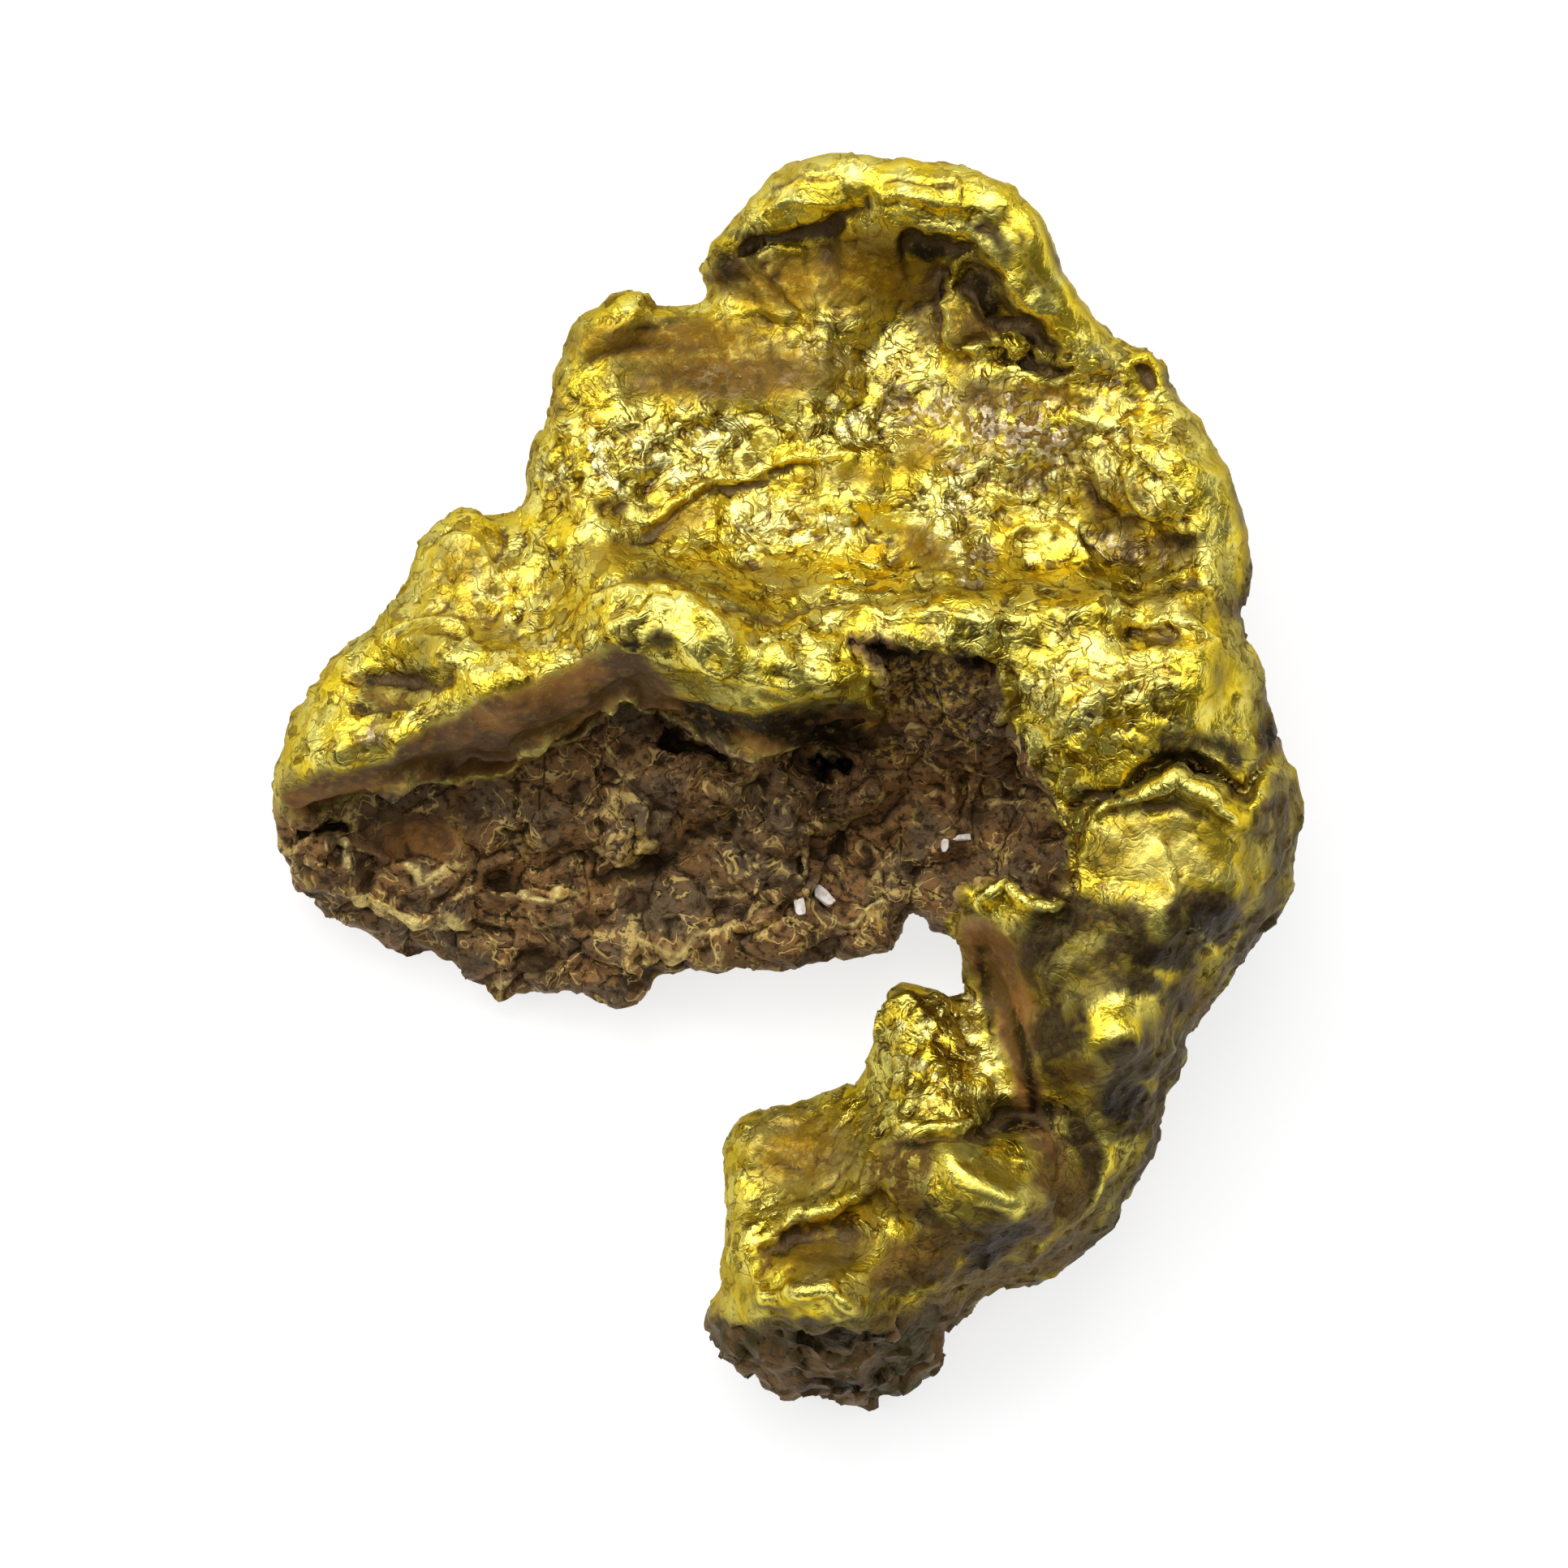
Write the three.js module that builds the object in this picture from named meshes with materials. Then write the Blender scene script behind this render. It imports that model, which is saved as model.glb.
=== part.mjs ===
// A gold nugget: one piece of native gold, worn smooth on its rims and left rough in its hollows.
// It lies on a table as it would be photographed from above. Its broad body is a shallow dish with a rolled rim,
// a thick fold runs across the body over a brown hollow, and a curled arm hooks back under the body.
//
// Units are millimetres, +Z is up, +X and +Y lie on the table. +Y points to the top lobe, away from the arm's tip.
// The origin is on the table, under the middle of the nugget's plan.
import * as THREE from "three";
import { mergeVertices } from "three/addons/utils/BufferGeometryUtils.js";

// Driving dimensions: the nugget's length along Y, and the distance between the points where its surface is found.
const LENGTH = 15.45;
const CELL = 0.34;

// Plan places are written as millimetres across and down a drawing sheet, at the nugget's own size.
// The sheet's middle is the nugget's middle.
const DRAWN_LENGTH = 15.45;
const SHEET_MIDDLE = [9.66, 9.655];
const SCALE = LENGTH / DRAWN_LENGTH;

// The silhouette, clockwise from the tip of the left lobe.
const OUTLINE = [
  [3.30, 9.90], [3.32, 9.55], [3.46, 9.18], [3.66, 8.70], [3.88, 8.36], [4.14, 8.08], [4.42, 7.83], [4.66, 7.64],
  [4.80, 7.35], [5.00, 7.10], [5.12, 6.80], [5.28, 6.50], [5.48, 6.33], [5.76, 6.25], [6.02, 6.33], [6.24, 6.34],
  [6.42, 6.18], [6.50, 5.92], [6.56, 5.58], [6.66, 5.32], [6.80, 5.00], [6.84, 4.70], [6.92, 4.42], [7.06, 4.18],
  [7.26, 3.94], [7.46, 3.76], [7.66, 3.61], [7.90, 3.58], [8.08, 3.72], [8.36, 3.72], [8.62, 3.67], [8.73, 3.50],
  [8.66, 3.30], [8.80, 3.02], [9.00, 2.75], [9.16, 2.53], [9.40, 2.33], [9.66, 2.12], [10.0, 1.98], [10.5, 1.93],
  [11.0, 1.96], [11.5, 1.98], [11.95, 2.12], [12.36, 2.32], [12.63, 2.51], [12.81, 2.76], [12.96, 3.06],
  [13.06, 3.36], [13.25, 3.66], [13.5, 3.96], [13.75, 4.20], [14.0, 4.27], [14.25, 4.43], [14.4, 4.66],
  [14.47, 4.90], [14.66, 5.16], [14.90, 5.48], [15.1, 5.80], [15.25, 6.20], [15.38, 6.60], [15.44, 7.00],
  [15.38, 7.34], [15.29, 7.55], [15.45, 7.85], [15.62, 8.20], [15.70, 8.60], [15.77, 9.00], [15.82, 9.28],
  [15.93, 9.62], [16.02, 10.0], [16.0, 10.5], [15.85, 11.04], [15.62, 11.36], [15.46, 11.62], [15.2, 11.96],
  [15.0, 12.26], [14.78, 12.56], [14.67, 12.72], [14.6, 13.02], [14.48, 13.3], [14.33, 13.54], [14.28, 13.86],
  [14.17, 14.3], [14.0, 14.66], [13.7, 15.1], [13.3, 15.5], [12.9, 15.8], [12.5, 15.92], [12.22, 16.02],
  [11.9, 16.22], [11.64, 16.42], [11.62, 16.66], [11.44, 16.92], [11.15, 17.12], [10.9, 17.23], [10.57, 17.38],
  [10.2, 17.26], [9.86, 17.24], [9.5, 17.1], [9.2, 16.9], [8.95, 16.7], [8.78, 16.5], [8.73, 16.2], [8.85, 15.95],
  [8.94, 15.7], [8.93, 15.4], [8.97, 15.0], [8.95, 14.5], [8.93, 14.06], [9.1, 13.8], [9.48, 13.7], [9.82, 13.6],
  [10.1, 13.5], [10.4, 13.37], [10.6, 13.33], [10.72, 13.1], [10.68, 12.9], [10.7, 12.7], [10.88, 12.46],
  [11.0, 12.22], [11.25, 12.15], [11.5, 12.18], [11.7, 12.25], [11.88, 12.18], [11.84, 12.0], [11.79, 11.66],
  [11.64, 11.44], [11.44, 11.3], [11.24, 11.3], [11.07, 11.42], [10.96, 11.6], [10.7, 11.72], [10.3, 11.82],
  [9.9, 11.9], [9.4, 11.93], [9.08, 11.85], [8.9, 11.9], [8.6, 11.88], [8.4, 12.0], [8.12, 12.06], [8.0, 12.25],
  [7.8, 12.35], [7.4, 12.28], [7.0, 12.25], [6.5, 12.28], [6.1, 12.22], [5.8, 12.08], [5.54, 11.9], [5.3, 11.74],
  [4.9, 11.7], [4.5, 11.52], [4.1, 11.3], [3.7, 10.95], [3.45, 10.6], [3.34, 10.2],
];

// Spot heights of the upper surface: across, down, height.
const CROWN = [
  // the rolled rim of the top lobe, and the flap folded in from it
  [9.0, 3.1, 2.9], [9.4, 2.6, 3.3], [10.0, 2.35, 3.6], [10.6, 2.3, 3.7], [11.2, 2.4, 3.8], [11.8, 2.55, 3.9],
  [12.3, 2.85, 4.0], [12.7, 3.3, 4.0], [13.05, 3.85, 3.8], [13.4, 4.35, 3.5], [11.2, 3.0, 3.2], [11.8, 3.3, 3.1],
  [12.2, 3.7, 3.3], [12.0, 4.15, 3.0], [12.6, 4.2, 3.0], [13.0, 4.55, 3.0],
  // the dish
  [9.6, 3.2, 2.7], [10.3, 3.1, 2.8], [10.6, 3.6, 2.7], [11.1, 3.6, 2.5], [11.4, 4.1, 2.3], [11.4, 4.7, 2.4],
  [12.3, 4.7, 2.5], [12.9, 5.0, 2.6], [7.8, 3.75, 3.0], [8.5, 3.9, 2.6], [7.2, 4.3, 2.9], [6.95, 4.9, 2.8],
  [7.8, 4.3, 2.6], [8.8, 4.4, 2.6], [9.8, 4.2, 2.6], [8.2, 5.0, 2.6], [7.3, 5.5, 2.9], [8.5, 5.7, 2.8],
  [9.4, 5.2, 2.75], [10.3, 4.7, 2.75], [10.6, 5.4, 2.75], [6.8, 5.9, 2.9], [7.6, 6.3, 2.9], [8.6, 6.4, 2.7],
  [9.6, 6.1, 2.75], [10.2, 6.4, 2.85], [11.5, 5.5, 2.6], [11.3, 6.2, 2.75], [12.2, 5.6, 2.75], [12.8, 5.5, 2.7],
  [13.3, 5.6, 2.8], [13.2, 6.3, 2.7], [14.2, 6.8, 2.6], [13.6, 6.9, 2.9], [12.7, 6.9, 3.1], [12.0, 6.9, 3.1],
  [12.3, 6.3, 2.8], [8.0, 6.7, 2.9], [9.0, 6.9, 2.8], [10.0, 6.9, 2.9], [11.0, 6.9, 3.0],
  // the rim of the dish on the right
  [13.9, 4.7, 3.2], [13.6, 5.2, 3.1], [14.1, 5.4, 3.5], [14.5, 5.9, 3.6], [14.8, 6.5, 3.6], [15.05, 7.0, 3.4],
  [13.9, 6.2, 3.1],
  // the left shoulder
  [5.6, 6.6, 2.7], [6.4, 6.8, 2.8], [5.3, 7.1, 2.8], [6.0, 7.3, 3.0], [6.8, 7.3, 2.9], [5.2, 7.85, 3.3],
  [4.6, 7.9, 2.9], [6.0, 7.8, 3.2], [6.8, 7.8, 3.4], [4.9, 8.4, 2.5], [4.1, 8.6, 2.9], [4.6, 8.85, 2.9],
  [3.7, 9.2, 2.7], [3.6, 9.8, 2.4], [4.2, 9.3, 3.1],
  // the top of the fold, and the lip that hangs over the hollow
  [7.2, 7.1, 3.4], [8.0, 7.0, 3.7], [8.8, 7.25, 3.7], [9.5, 7.5, 3.6], [10.2, 7.35, 3.7], [11.0, 7.3, 3.8],
  [11.8, 7.25, 3.9], [12.6, 7.35, 4.0], [13.5, 7.35, 4.0], [14.4, 7.4, 3.9], [15.0, 7.6, 3.9], [4.9, 9.1, 3.3],
  [5.6, 8.65, 3.6], [6.4, 8.3, 3.9], [7.2, 8.05, 4.2], [7.8, 7.75, 4.5], [8.4, 7.7, 4.7], [9.1, 7.95, 4.6],
  [9.8, 8.3, 4.4], [10.4, 8.6, 4.1], [4.5, 9.65, 2.5], [5.5, 9.45, 2.6], [6.3, 9.35, 2.8], [7.0, 8.95, 3.1],
  [7.6, 8.6, 3.3], [8.3, 8.7, 3.3], [9.0, 9.05, 3.1], [9.6, 9.2, 3.0], [10.4, 8.9, 3.0], [11.0, 8.8, 3.0],
  [10.2, 7.8, 4.0], [10.4, 8.2, 4.1],
  // the pillow on the right
  [11.3, 7.75, 4.1], [12.2, 7.85, 4.2], [12.6, 8.4, 4.2], [12.6, 9.0, 3.9], [13.2, 7.9, 4.2], [14.0, 7.8, 4.0],
  [13.3, 8.6, 4.4], [14.2, 8.5, 4.4], [15.0, 8.3, 4.2], [15.4, 8.9, 3.7], [13.2, 9.3, 4.1], [14.0, 9.1, 4.1],
  [14.8, 9.1, 3.9], [13.2, 9.8, 3.5],
  // the arm
  [13.5, 10.2, 4.0], [14.4, 9.8, 4.4], [15.3, 10.1, 4.2], [15.6, 9.5, 3.9], [15.8, 10.3, 3.4], [14.6, 10.6, 4.5],
  [15.3, 10.9, 3.9], [13.9, 10.8, 4.4], [13.2, 11.0, 4.2], [12.6, 11.15, 4.0], [12.15, 11.2, 3.6],
  [14.3, 11.6, 4.4], [15.1, 11.5, 3.6], [13.4, 11.9, 4.3], [12.6, 12.0, 3.6], [14.0, 12.4, 4.2], [14.7, 12.2, 3.4],
  [13.2, 12.8, 4.0], [12.75, 13.0, 3.5], [14.0, 12.9, 4.4], [13.6, 13.5, 3.6], [14.2, 13.5, 3.0], [13.0, 13.6, 3.0],
  [12.2, 12.3, 2.6], [11.4, 12.4, 2.9], [11.1, 12.9, 2.8], [12.1, 12.9, 2.7], [11.4, 13.4, 3.6], [12.1, 13.3, 3.1],
  [12.3, 13.7, 2.9], [11.3, 14.0, 3.6], [11.9, 14.3, 4.1], [12.5, 14.8, 4.1], [12.9, 14.9, 3.5], [11.2, 14.6, 3.6],
  [11.9, 15.0, 3.6], [13.2, 14.2, 3.0], [13.6, 14.7, 2.7], [13.1, 15.3, 2.4], [12.4, 15.5, 2.7],
  // the arm's tip
  [9.4, 14.1, 2.3], [10.1, 14.2, 2.2], [10.5, 13.8, 2.4], [9.3, 14.8, 2.5], [10.0, 14.8, 2.9], [10.7, 14.5, 3.3],
  [10.6, 15.2, 2.9], [10.0, 15.3, 2.8], [9.3, 15.2, 3.2], [9.2, 15.9, 2.9], [9.8, 15.9, 3.4], [10.5, 16.0, 3.4],
  [11.4, 15.6, 3.3], [11.3, 16.2, 2.8], [10.3, 16.7, 2.6], [9.6, 16.5, 2.6], [10.9, 16.8, 2.2],
];

// The hollow under the fold: its edge in plan, running out past the silhouette on its open side, and its floor.
const HOLLOW = [
  [2.8, 10.1], [3.55, 10.08], [4.0, 9.88], [4.5, 9.74], [5.2, 9.64], [5.8, 9.54], [6.3, 9.5], [6.6, 9.32],
  [7.0, 9.06], [7.35, 8.86], [7.6, 8.7], [7.9, 8.68], [8.2, 8.8], [8.6, 9.0], [9.0, 9.15], [9.5, 9.3], [9.9, 9.15],
  [10.4, 8.97], [10.9, 8.93], [11.05, 8.75], [10.75, 8.5], [10.5, 8.12], [10.5, 7.86], [10.9, 7.86], [11.4, 8.0],
  [12.0, 8.08], [12.35, 8.28], [12.42, 8.6], [12.3, 8.92], [12.55, 9.15], [12.75, 9.6], [13.0, 9.95],
  [13.15, 10.3], [13.12, 10.8], [13.05, 11.05], [12.6, 10.98], [12.35, 10.8], [12.0, 10.95], [11.88, 11.2],
  [11.6, 11.5], [11.5, 12.0], [8.0, 13.2], [5.5, 12.9], [3.0, 12.0],
];
const FLOOR = [
  // the pocket on the left, and the jaw round it
  [4.1, 10.2, 1.5], [4.7, 10.1, 1.3], [5.2, 10.4, 1.2], [5.6, 9.9, 1.5], [4.3, 10.6, 1.7], [4.9, 10.9, 1.5],
  [5.5, 10.8, 1.5], [3.8, 10.3, 2.0], [3.9, 10.7, 2.0], [4.4, 11.0, 2.2], [4.9, 11.3, 2.3], [5.5, 11.35, 2.2],
  [5.9, 11.5, 2.0], [4.6, 11.5, 1.7], [5.3, 11.75, 1.7], [3.7, 10.9, 1.6],
  // the golden ramp and the rough edge below it
  [6.2, 10.3, 1.6], [6.4, 10.8, 1.8], [7.0, 10.7, 1.9], [6.2, 11.15, 1.4], [6.9, 11.2, 1.3], [6.5, 11.8, 1.1],
  [6.1, 12.1, 1.3], [7.2, 12.1, 1.5], [7.9, 12.1, 1.6], [7.0, 11.6, 1.4],
  // the boulders in the middle
  [6.6, 9.7, 1.7], [7.3, 9.3, 1.9], [7.3, 9.9, 1.8], [8.0, 9.2, 2.1], [8.0, 10.0, 2.2], [7.6, 10.8, 1.7],
  [8.4, 10.6, 2.1], [8.8, 9.7, 2.1], [8.9, 10.3, 2.2], [9.4, 9.6, 1.9], [9.5, 10.4, 2.1], [9.6, 10.9, 1.9],
  [8.5, 11.2, 1.9], [9.1, 11.4, 1.7], [8.3, 11.8, 1.7], [9.4, 11.8, 1.5], [10.1, 11.5, 1.7], [10.6, 11.4, 1.8],
  // the bay on the right
  [10.2, 9.7, 1.5], [10.3, 10.4, 1.2], [10.8, 10.0, 1.4], [10.9, 9.4, 1.7], [10.7, 10.9, 1.2], [11.2, 10.5, 1.2],
  [11.2, 11.1, 1.4], [11.6, 9.5, 1.9], [11.6, 10.2, 1.4], [12.3, 9.5, 1.8], [12.8, 10.1, 1.7], [12.2, 10.4, 1.4],
  [12.0, 11.0, 1.5], [12.9, 11.0, 1.8], [11.7, 11.4, 1.4],
  // the window pit
  [10.8, 8.2, 1.9], [11.4, 8.5, 1.7], [12.1, 8.5, 1.9], [11.2, 8.9, 2.0], [11.8, 8.9, 2.3], [12.2, 9.0, 2.2],
];

// Spot heights of the underside. Those below the table are ground flat by it, and are what the nugget rests on.
const BELLY = [
  [4.9, 10.3, -0.25], [5.7, 10.9, -0.2], [14.3, 9.6, -0.25], [14.6, 10.7, -0.2], [11.6, 3.3, -0.25],
  [10.3, 16.2, -0.25], [10.9, 15.5, 0.1], [7.0, 5.0, 1.1], [5.6, 6.8, 0.9], [8.2, 4.2, 0.9], [9.5, 6.5, 0.5],
  [11.0, 5.5, 0.4], [8.0, 8.5, 0.4], [12.5, 6.5, 0.45], [10.5, 10.5, 0.5], [12.0, 9.5, 0.5], [12.5, 12.0, 0.9],
  [13.6, 13.0, 0.7], [12.6, 14.4, 0.5], [9.5, 14.3, 0.5], [11.4, 13.2, 0.8], [15.0, 7.8, 0.6], [14.6, 6.0, 0.8],
  [13.0, 4.6, 0.6], [9.8, 2.6, 0.9], [3.8, 9.6, 0.5], [7.0, 11.9, 0.3], [8.6, 11.4, 0.5], [10.0, 11.2, 0.6], [15.6, 10.3, 0.7],
];

// Ledges: walking along each line, the ground on the walker's right drops, and comes back up over the run.
const LEDGES = [
  { line: [[9.0, 3.15], [9.2, 2.95], [9.6, 2.78], [10.1, 2.78], [10.45, 2.85]], drop: 0.45, run: 0.8 },
  { line: [[10.95, 2.95], [11.2, 2.92], [11.6, 2.97], [11.9, 3.1]], drop: 0.35, run: 0.5 },
  { line: [[11.6, 3.55], [11.68, 3.9], [11.85, 4.25], [12.15, 4.15], [12.5, 4.38], [12.9, 4.2]], drop: 0.6, run: 0.7 },
  { line: [[11.95, 3.15], [12.3, 3.45], [12.6, 3.9], [12.9, 4.1], [13.2, 4.3]], drop: 0.5, run: 0.8 },
  { line: [[12.5, 4.62], [12.85, 4.72], [13.25, 4.7]], drop: 0.35, run: 0.6 },
  { line: [[15.2, 7.35], [14.2, 7.3], [13.4, 7.3], [12.6, 7.2], [11.8, 7.28], [11.2, 7.35], [10.6, 7.45],
    [10.2, 7.42], [9.8, 7.52], [9.4, 7.5], [9.0, 7.3], [8.6, 7.12], [8.1, 7.02], [7.6, 7.1], [7.35, 7.3],
    [7.3, 7.6]], drop: 0.3, run: 0.6 },
  { line: [[8.1, 6.5], [8.6, 6.15], [8.9, 5.97], [9.4, 5.85], [9.9, 5.75], [10.4, 5.7], [10.9, 5.65]],
    drop: 0.25, run: 0.5 },
  { line: [[13.2, 6.5], [13.9, 6.45], [14.4, 6.5], [14.6, 6.6], [14.7, 6.9]], drop: 0.35, run: 0.4 },
  { line: [[4.6, 8.15], [5.0, 8.25], [5.4, 8.25], [5.75, 8.3]], drop: 0.45, run: 0.5 },
  { line: [[7.3, 11.0], [6.9, 11.05], [6.4, 11.0], [6.0, 11.0], [5.7, 11.05]], drop: 0.3, run: 0.5 },
  { line: [[8.2, 10.5], [7.7, 10.65], [7.3, 10.5], [7.2, 10.2]], drop: -0.35, run: 0.5 },
  { line: [[9.95, 10.4], [9.9, 10.7], [9.6, 10.95], [9.3, 11.2], [9.0, 11.5]], drop: 0.3, run: 0.6 },
];

// Ridges stand up along their lines, and creases, with a negative rise, cut down.
const RIDGES = [
  { line: [[12.9, 9.85], [13.2, 9.97], [13.55, 9.87], [13.85, 9.65], [14.1, 9.48], [14.5, 9.38], [15.0, 9.55],
    [15.35, 9.8], [15.5, 9.5], [15.75, 9.15]], rise: -0.9, wide: 0.14 },
  { line: [[13.2, 10.1], [13.5, 10.02], [13.9, 9.85], [14.2, 9.65], [14.45, 9.58], [14.8, 9.75], [15.15, 9.98],
    [15.4, 10.25]], rise: 0.25, wide: 0.13 },
  { line: [[15.65, 9.35], [15.6, 9.7], [15.5, 10.0], [15.45, 10.3]], rise: 0.3, wide: 0.15 },
  { line: [[11.95, 11.3], [12.0, 11.05], [12.3, 10.88], [12.5, 10.98], [12.65, 11.15], [13.0, 11.22],
    [13.2, 11.1]], rise: 0.3, wide: 0.13 },
  { line: [[13.9, 10.3], [14.2, 10.6], [14.45, 10.95], [14.55, 11.3], [14.9, 11.65]], rise: 0.2, wide: 0.11 },
  { line: [[11.9, 13.95], [12.3, 13.85], [12.7, 13.7], [13.0, 13.6]], rise: -0.4, wide: 0.13 },
  { line: [[11.5, 14.3], [11.9, 14.4], [12.2, 14.6], [12.5, 14.85], [12.8, 14.98]], rise: 0.25, wide: 0.15 },
  { line: [[10.6, 13.6], [10.66, 14.1], [10.6, 14.6], [10.3, 14.85], [9.9, 14.9], [9.6, 15.1], [9.45, 15.3]],
    rise: 0.3, wide: 0.13 },
  { line: [[9.95, 15.15], [9.6, 15.3], [9.4, 15.6], [9.35, 15.9]], rise: -0.3, wide: 0.1 },
  { line: [[9.3, 15.6], [9.45, 15.95], [9.7, 16.0], [9.85, 15.85], [10.2, 15.8], [10.5, 16.0], [10.7, 16.1]],
    rise: 0.25, wide: 0.12 },
  { line: [[9.9, 16.55], [10.4, 16.5], [10.9, 16.4]], rise: -0.35, wide: 0.11 },
  { line: [[3.7, 10.35], [3.95, 10.65], [4.3, 10.9], [4.7, 11.2], [5.1, 11.4], [5.6, 11.28], [5.9, 11.45]],
    rise: 0.3, wide: 0.13 },
  { line: [[9.8, 10.25], [10.1, 10.15], [10.4, 9.95], [10.7, 9.75], [10.8, 9.55]], rise: 0.3, wide: 0.09 },
];

// Oval pits and knobs in the upper surface: the middle, the two radii, the turn in degrees, and the rise.
const KNOBS = [
  { at: [14.1, 7.78], radii: [0.5, 0.16], turn: -8, rise: -0.35 },
  { at: [10.65, 2.5], radii: [0.09, 0.2], turn: -10, rise: -0.3 },
  { at: [14.05, 4.7], radii: [0.12, 0.2], turn: 30, rise: -0.35 },
  { at: [5.2, 7.9], radii: [0.5, 0.3], turn: -10, rise: 0.25 },
  { at: [10.2, 9.3], radii: [0.35, 0.2], turn: 0, rise: -0.8 },
  { at: [4.0, 10.2], radii: [0.25, 0.12], turn: 10, rise: -0.5 },
  { at: [7.75, 10.2], radii: [0.4, 0.35], turn: 0, rise: 0.3 },
  { at: [7.3, 9.65], radii: [0.2, 0.3], turn: 0, rise: 0.25 },
  { at: [8.9, 9.9], radii: [0.4, 0.25], turn: 30, rise: 0.25 },
  { at: [6.6, 11.85], radii: [0.35, 0.15], turn: 0, rise: -0.35 },
  { at: [8.5, 9.2], radii: [0.3, 0.12], turn: -20, rise: -0.4 },
];

// How the solids' edges are rounded, and how far the fold overhangs the hollow.
const RIM_SHARE = 0.46; // of the thickness at the rim
const RIM_MOST = 1.15;
const OVERHANG = 0.35;
const LIP_THICKNESS = 0.25;
const OVERHANG_RISE = 0.9; // from the undercut's top down to its full depth
const LEAST_THICKNESS = 1.0;
const STEP_WIDTH = 0.12; // across a ledge's drop
const SWELL = 0.07; // height of the low swells all over
const SWELL_LENGTH = 1.5;

const toPart = ([x, y]) => [(x - SHEET_MIDDLE[0]) * SCALE, (SHEET_MIDDLE[1] - y) * SCALE];
const clamp = THREE.MathUtils.clamp;
const smoothstep = THREE.MathUtils.smoothstep;

// A height sheet through spot heights, bent like a thin metal plate: a sum of r^2 ln r over the spots and a plane.
function bentSheet(spots) {
  const n = spots.length;
  const places = spots.map((s) => toPart(s));
  const bend = (r2) => (r2 < 1e-12 ? 0 : 0.5 * r2 * Math.log(r2));
  const rows = [];
  for (let i = 0; i < n + 3; i++) {
    const row = new Float64Array(n + 4);
    if (i < n) {
      places.forEach(([x, y], j) => (row[j] = bend((places[i][0] - x) ** 2 + (places[i][1] - y) ** 2)));
      row.set([1, places[i][0], places[i][1], spots[i][2] * SCALE], n);
    } else {
      places.forEach((p, j) => (row[j] = [1, p[0], p[1]][i - n]));
    }
    rows.push(row);
  }
  solveRows(rows);
  const weight = rows.map((row) => row[n + 3]);
  return (x, y) => {
    let z = weight[n] + weight[n + 1] * x + weight[n + 2] * y;
    for (let i = 0; i < n; i++) z += weight[i] * bend((places[i][0] - x) ** 2 + (places[i][1] - y) ** 2);
    return z;
  };
}

// Gaussian elimination with pivots, in place: each row's last number ends as its unknown.
function solveRows(rows) {
  const n = rows.length;
  for (let c = 0; c < n; c++) {
    let best = c;
    for (let r = c + 1; r < n; r++) if (Math.abs(rows[r][c]) > Math.abs(rows[best][c])) best = r;
    [rows[c], rows[best]] = [rows[best], rows[c]];
    for (let r = 0; r < n; r++) {
      if (r === c) continue;
      const share = rows[r][c] / rows[c][c];
      for (let k = c; k <= n; k++) rows[r][k] -= share * rows[c][k];
    }
  }
  for (let r = 0; r < n; r++) rows[r][n] /= rows[r][r];
}

// Signed distance to a closed line in plan, positive inside it.
function insideOf(points) {
  return (x, y) => {
    let least = Infinity;
    let inside = false;
    for (let i = 0, j = points.length - 1; i < points.length; j = i++) {
      const [ax, ay] = points[j];
      const [bx, by] = points[i];
      const t = clamp(((x - ax) * (bx - ax) + (y - ay) * (by - ay)) / ((bx - ax) ** 2 + (by - ay) ** 2), 0, 1);
      least = Math.min(least, Math.hypot(x - ax - t * (bx - ax), y - ay - t * (by - ay)));
      if (ay > y !== by > y && x < ax + ((y - ay) / (by - ay)) * (bx - ax)) inside = !inside;
    }
    return inside ? least : -least;
  };
}

// The nearest point of an open line: its distance, signed + on the right of the line on the sheet, and the
// share of the line's length at which it lies.
function alongLine(points) {
  const lengths = points.slice(1).map((p, i) => Math.hypot(p[0] - points[i][0], p[1] - points[i][1]));
  const whole = lengths.reduce((a, b) => a + b);
  return (x, y) => {
    let found = { distance: Infinity, share: 0 };
    let passed = 0;
    for (let i = 0; i < lengths.length; i++) {
      const [ax, ay] = points[i];
      const dx = (points[i + 1][0] - ax) / lengths[i];
      const dy = (points[i + 1][1] - ay) / lengths[i];
      const t = clamp((x - ax) * dx + (y - ay) * dy, 0, lengths[i]);
      const ex = x - ax - t * dx;
      const ey = y - ay - t * dy;
      const distance = Math.hypot(ex, ey);
      if (distance < Math.abs(found.distance))
        found = { distance: distance * (dy * ex - dx * ey < 0 ? -1 : 1), share: (passed + t) / whole };
      passed += lengths[i];
    }
    return found;
  };
}

// 1 along most of a line, falling to 0 at both ends.
const taper = (share) => smoothstep(Math.min(share, 1 - share), 0, 0.15);

// Height that a ledge takes off: a sudden step down to the right of the line, which fades over the run.
function ledge({ line, drop, run }) {
  const near = alongLine(line.map(toPart));
  return (x, y) => {
    const { distance, share } = near(x, y);
    const down = smoothstep(distance, -STEP_WIDTH, STEP_WIDTH) * Math.exp(-((Math.max(distance, 0) / run) ** 2));
    return -drop * down * taper(share);
  };
}

// Height that a ridge adds: a bell across the line, no narrower than the surface points can follow.
function ridge({ line, rise, wide }) {
  const near = alongLine(line.map(toPart));
  const across = Math.max(wide, 0.6 * CELL);
  return (x, y) => {
    const { distance, share } = near(x, y);
    return rise * Math.exp(-((distance / across) ** 2)) * taper(share);
  };
}

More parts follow.
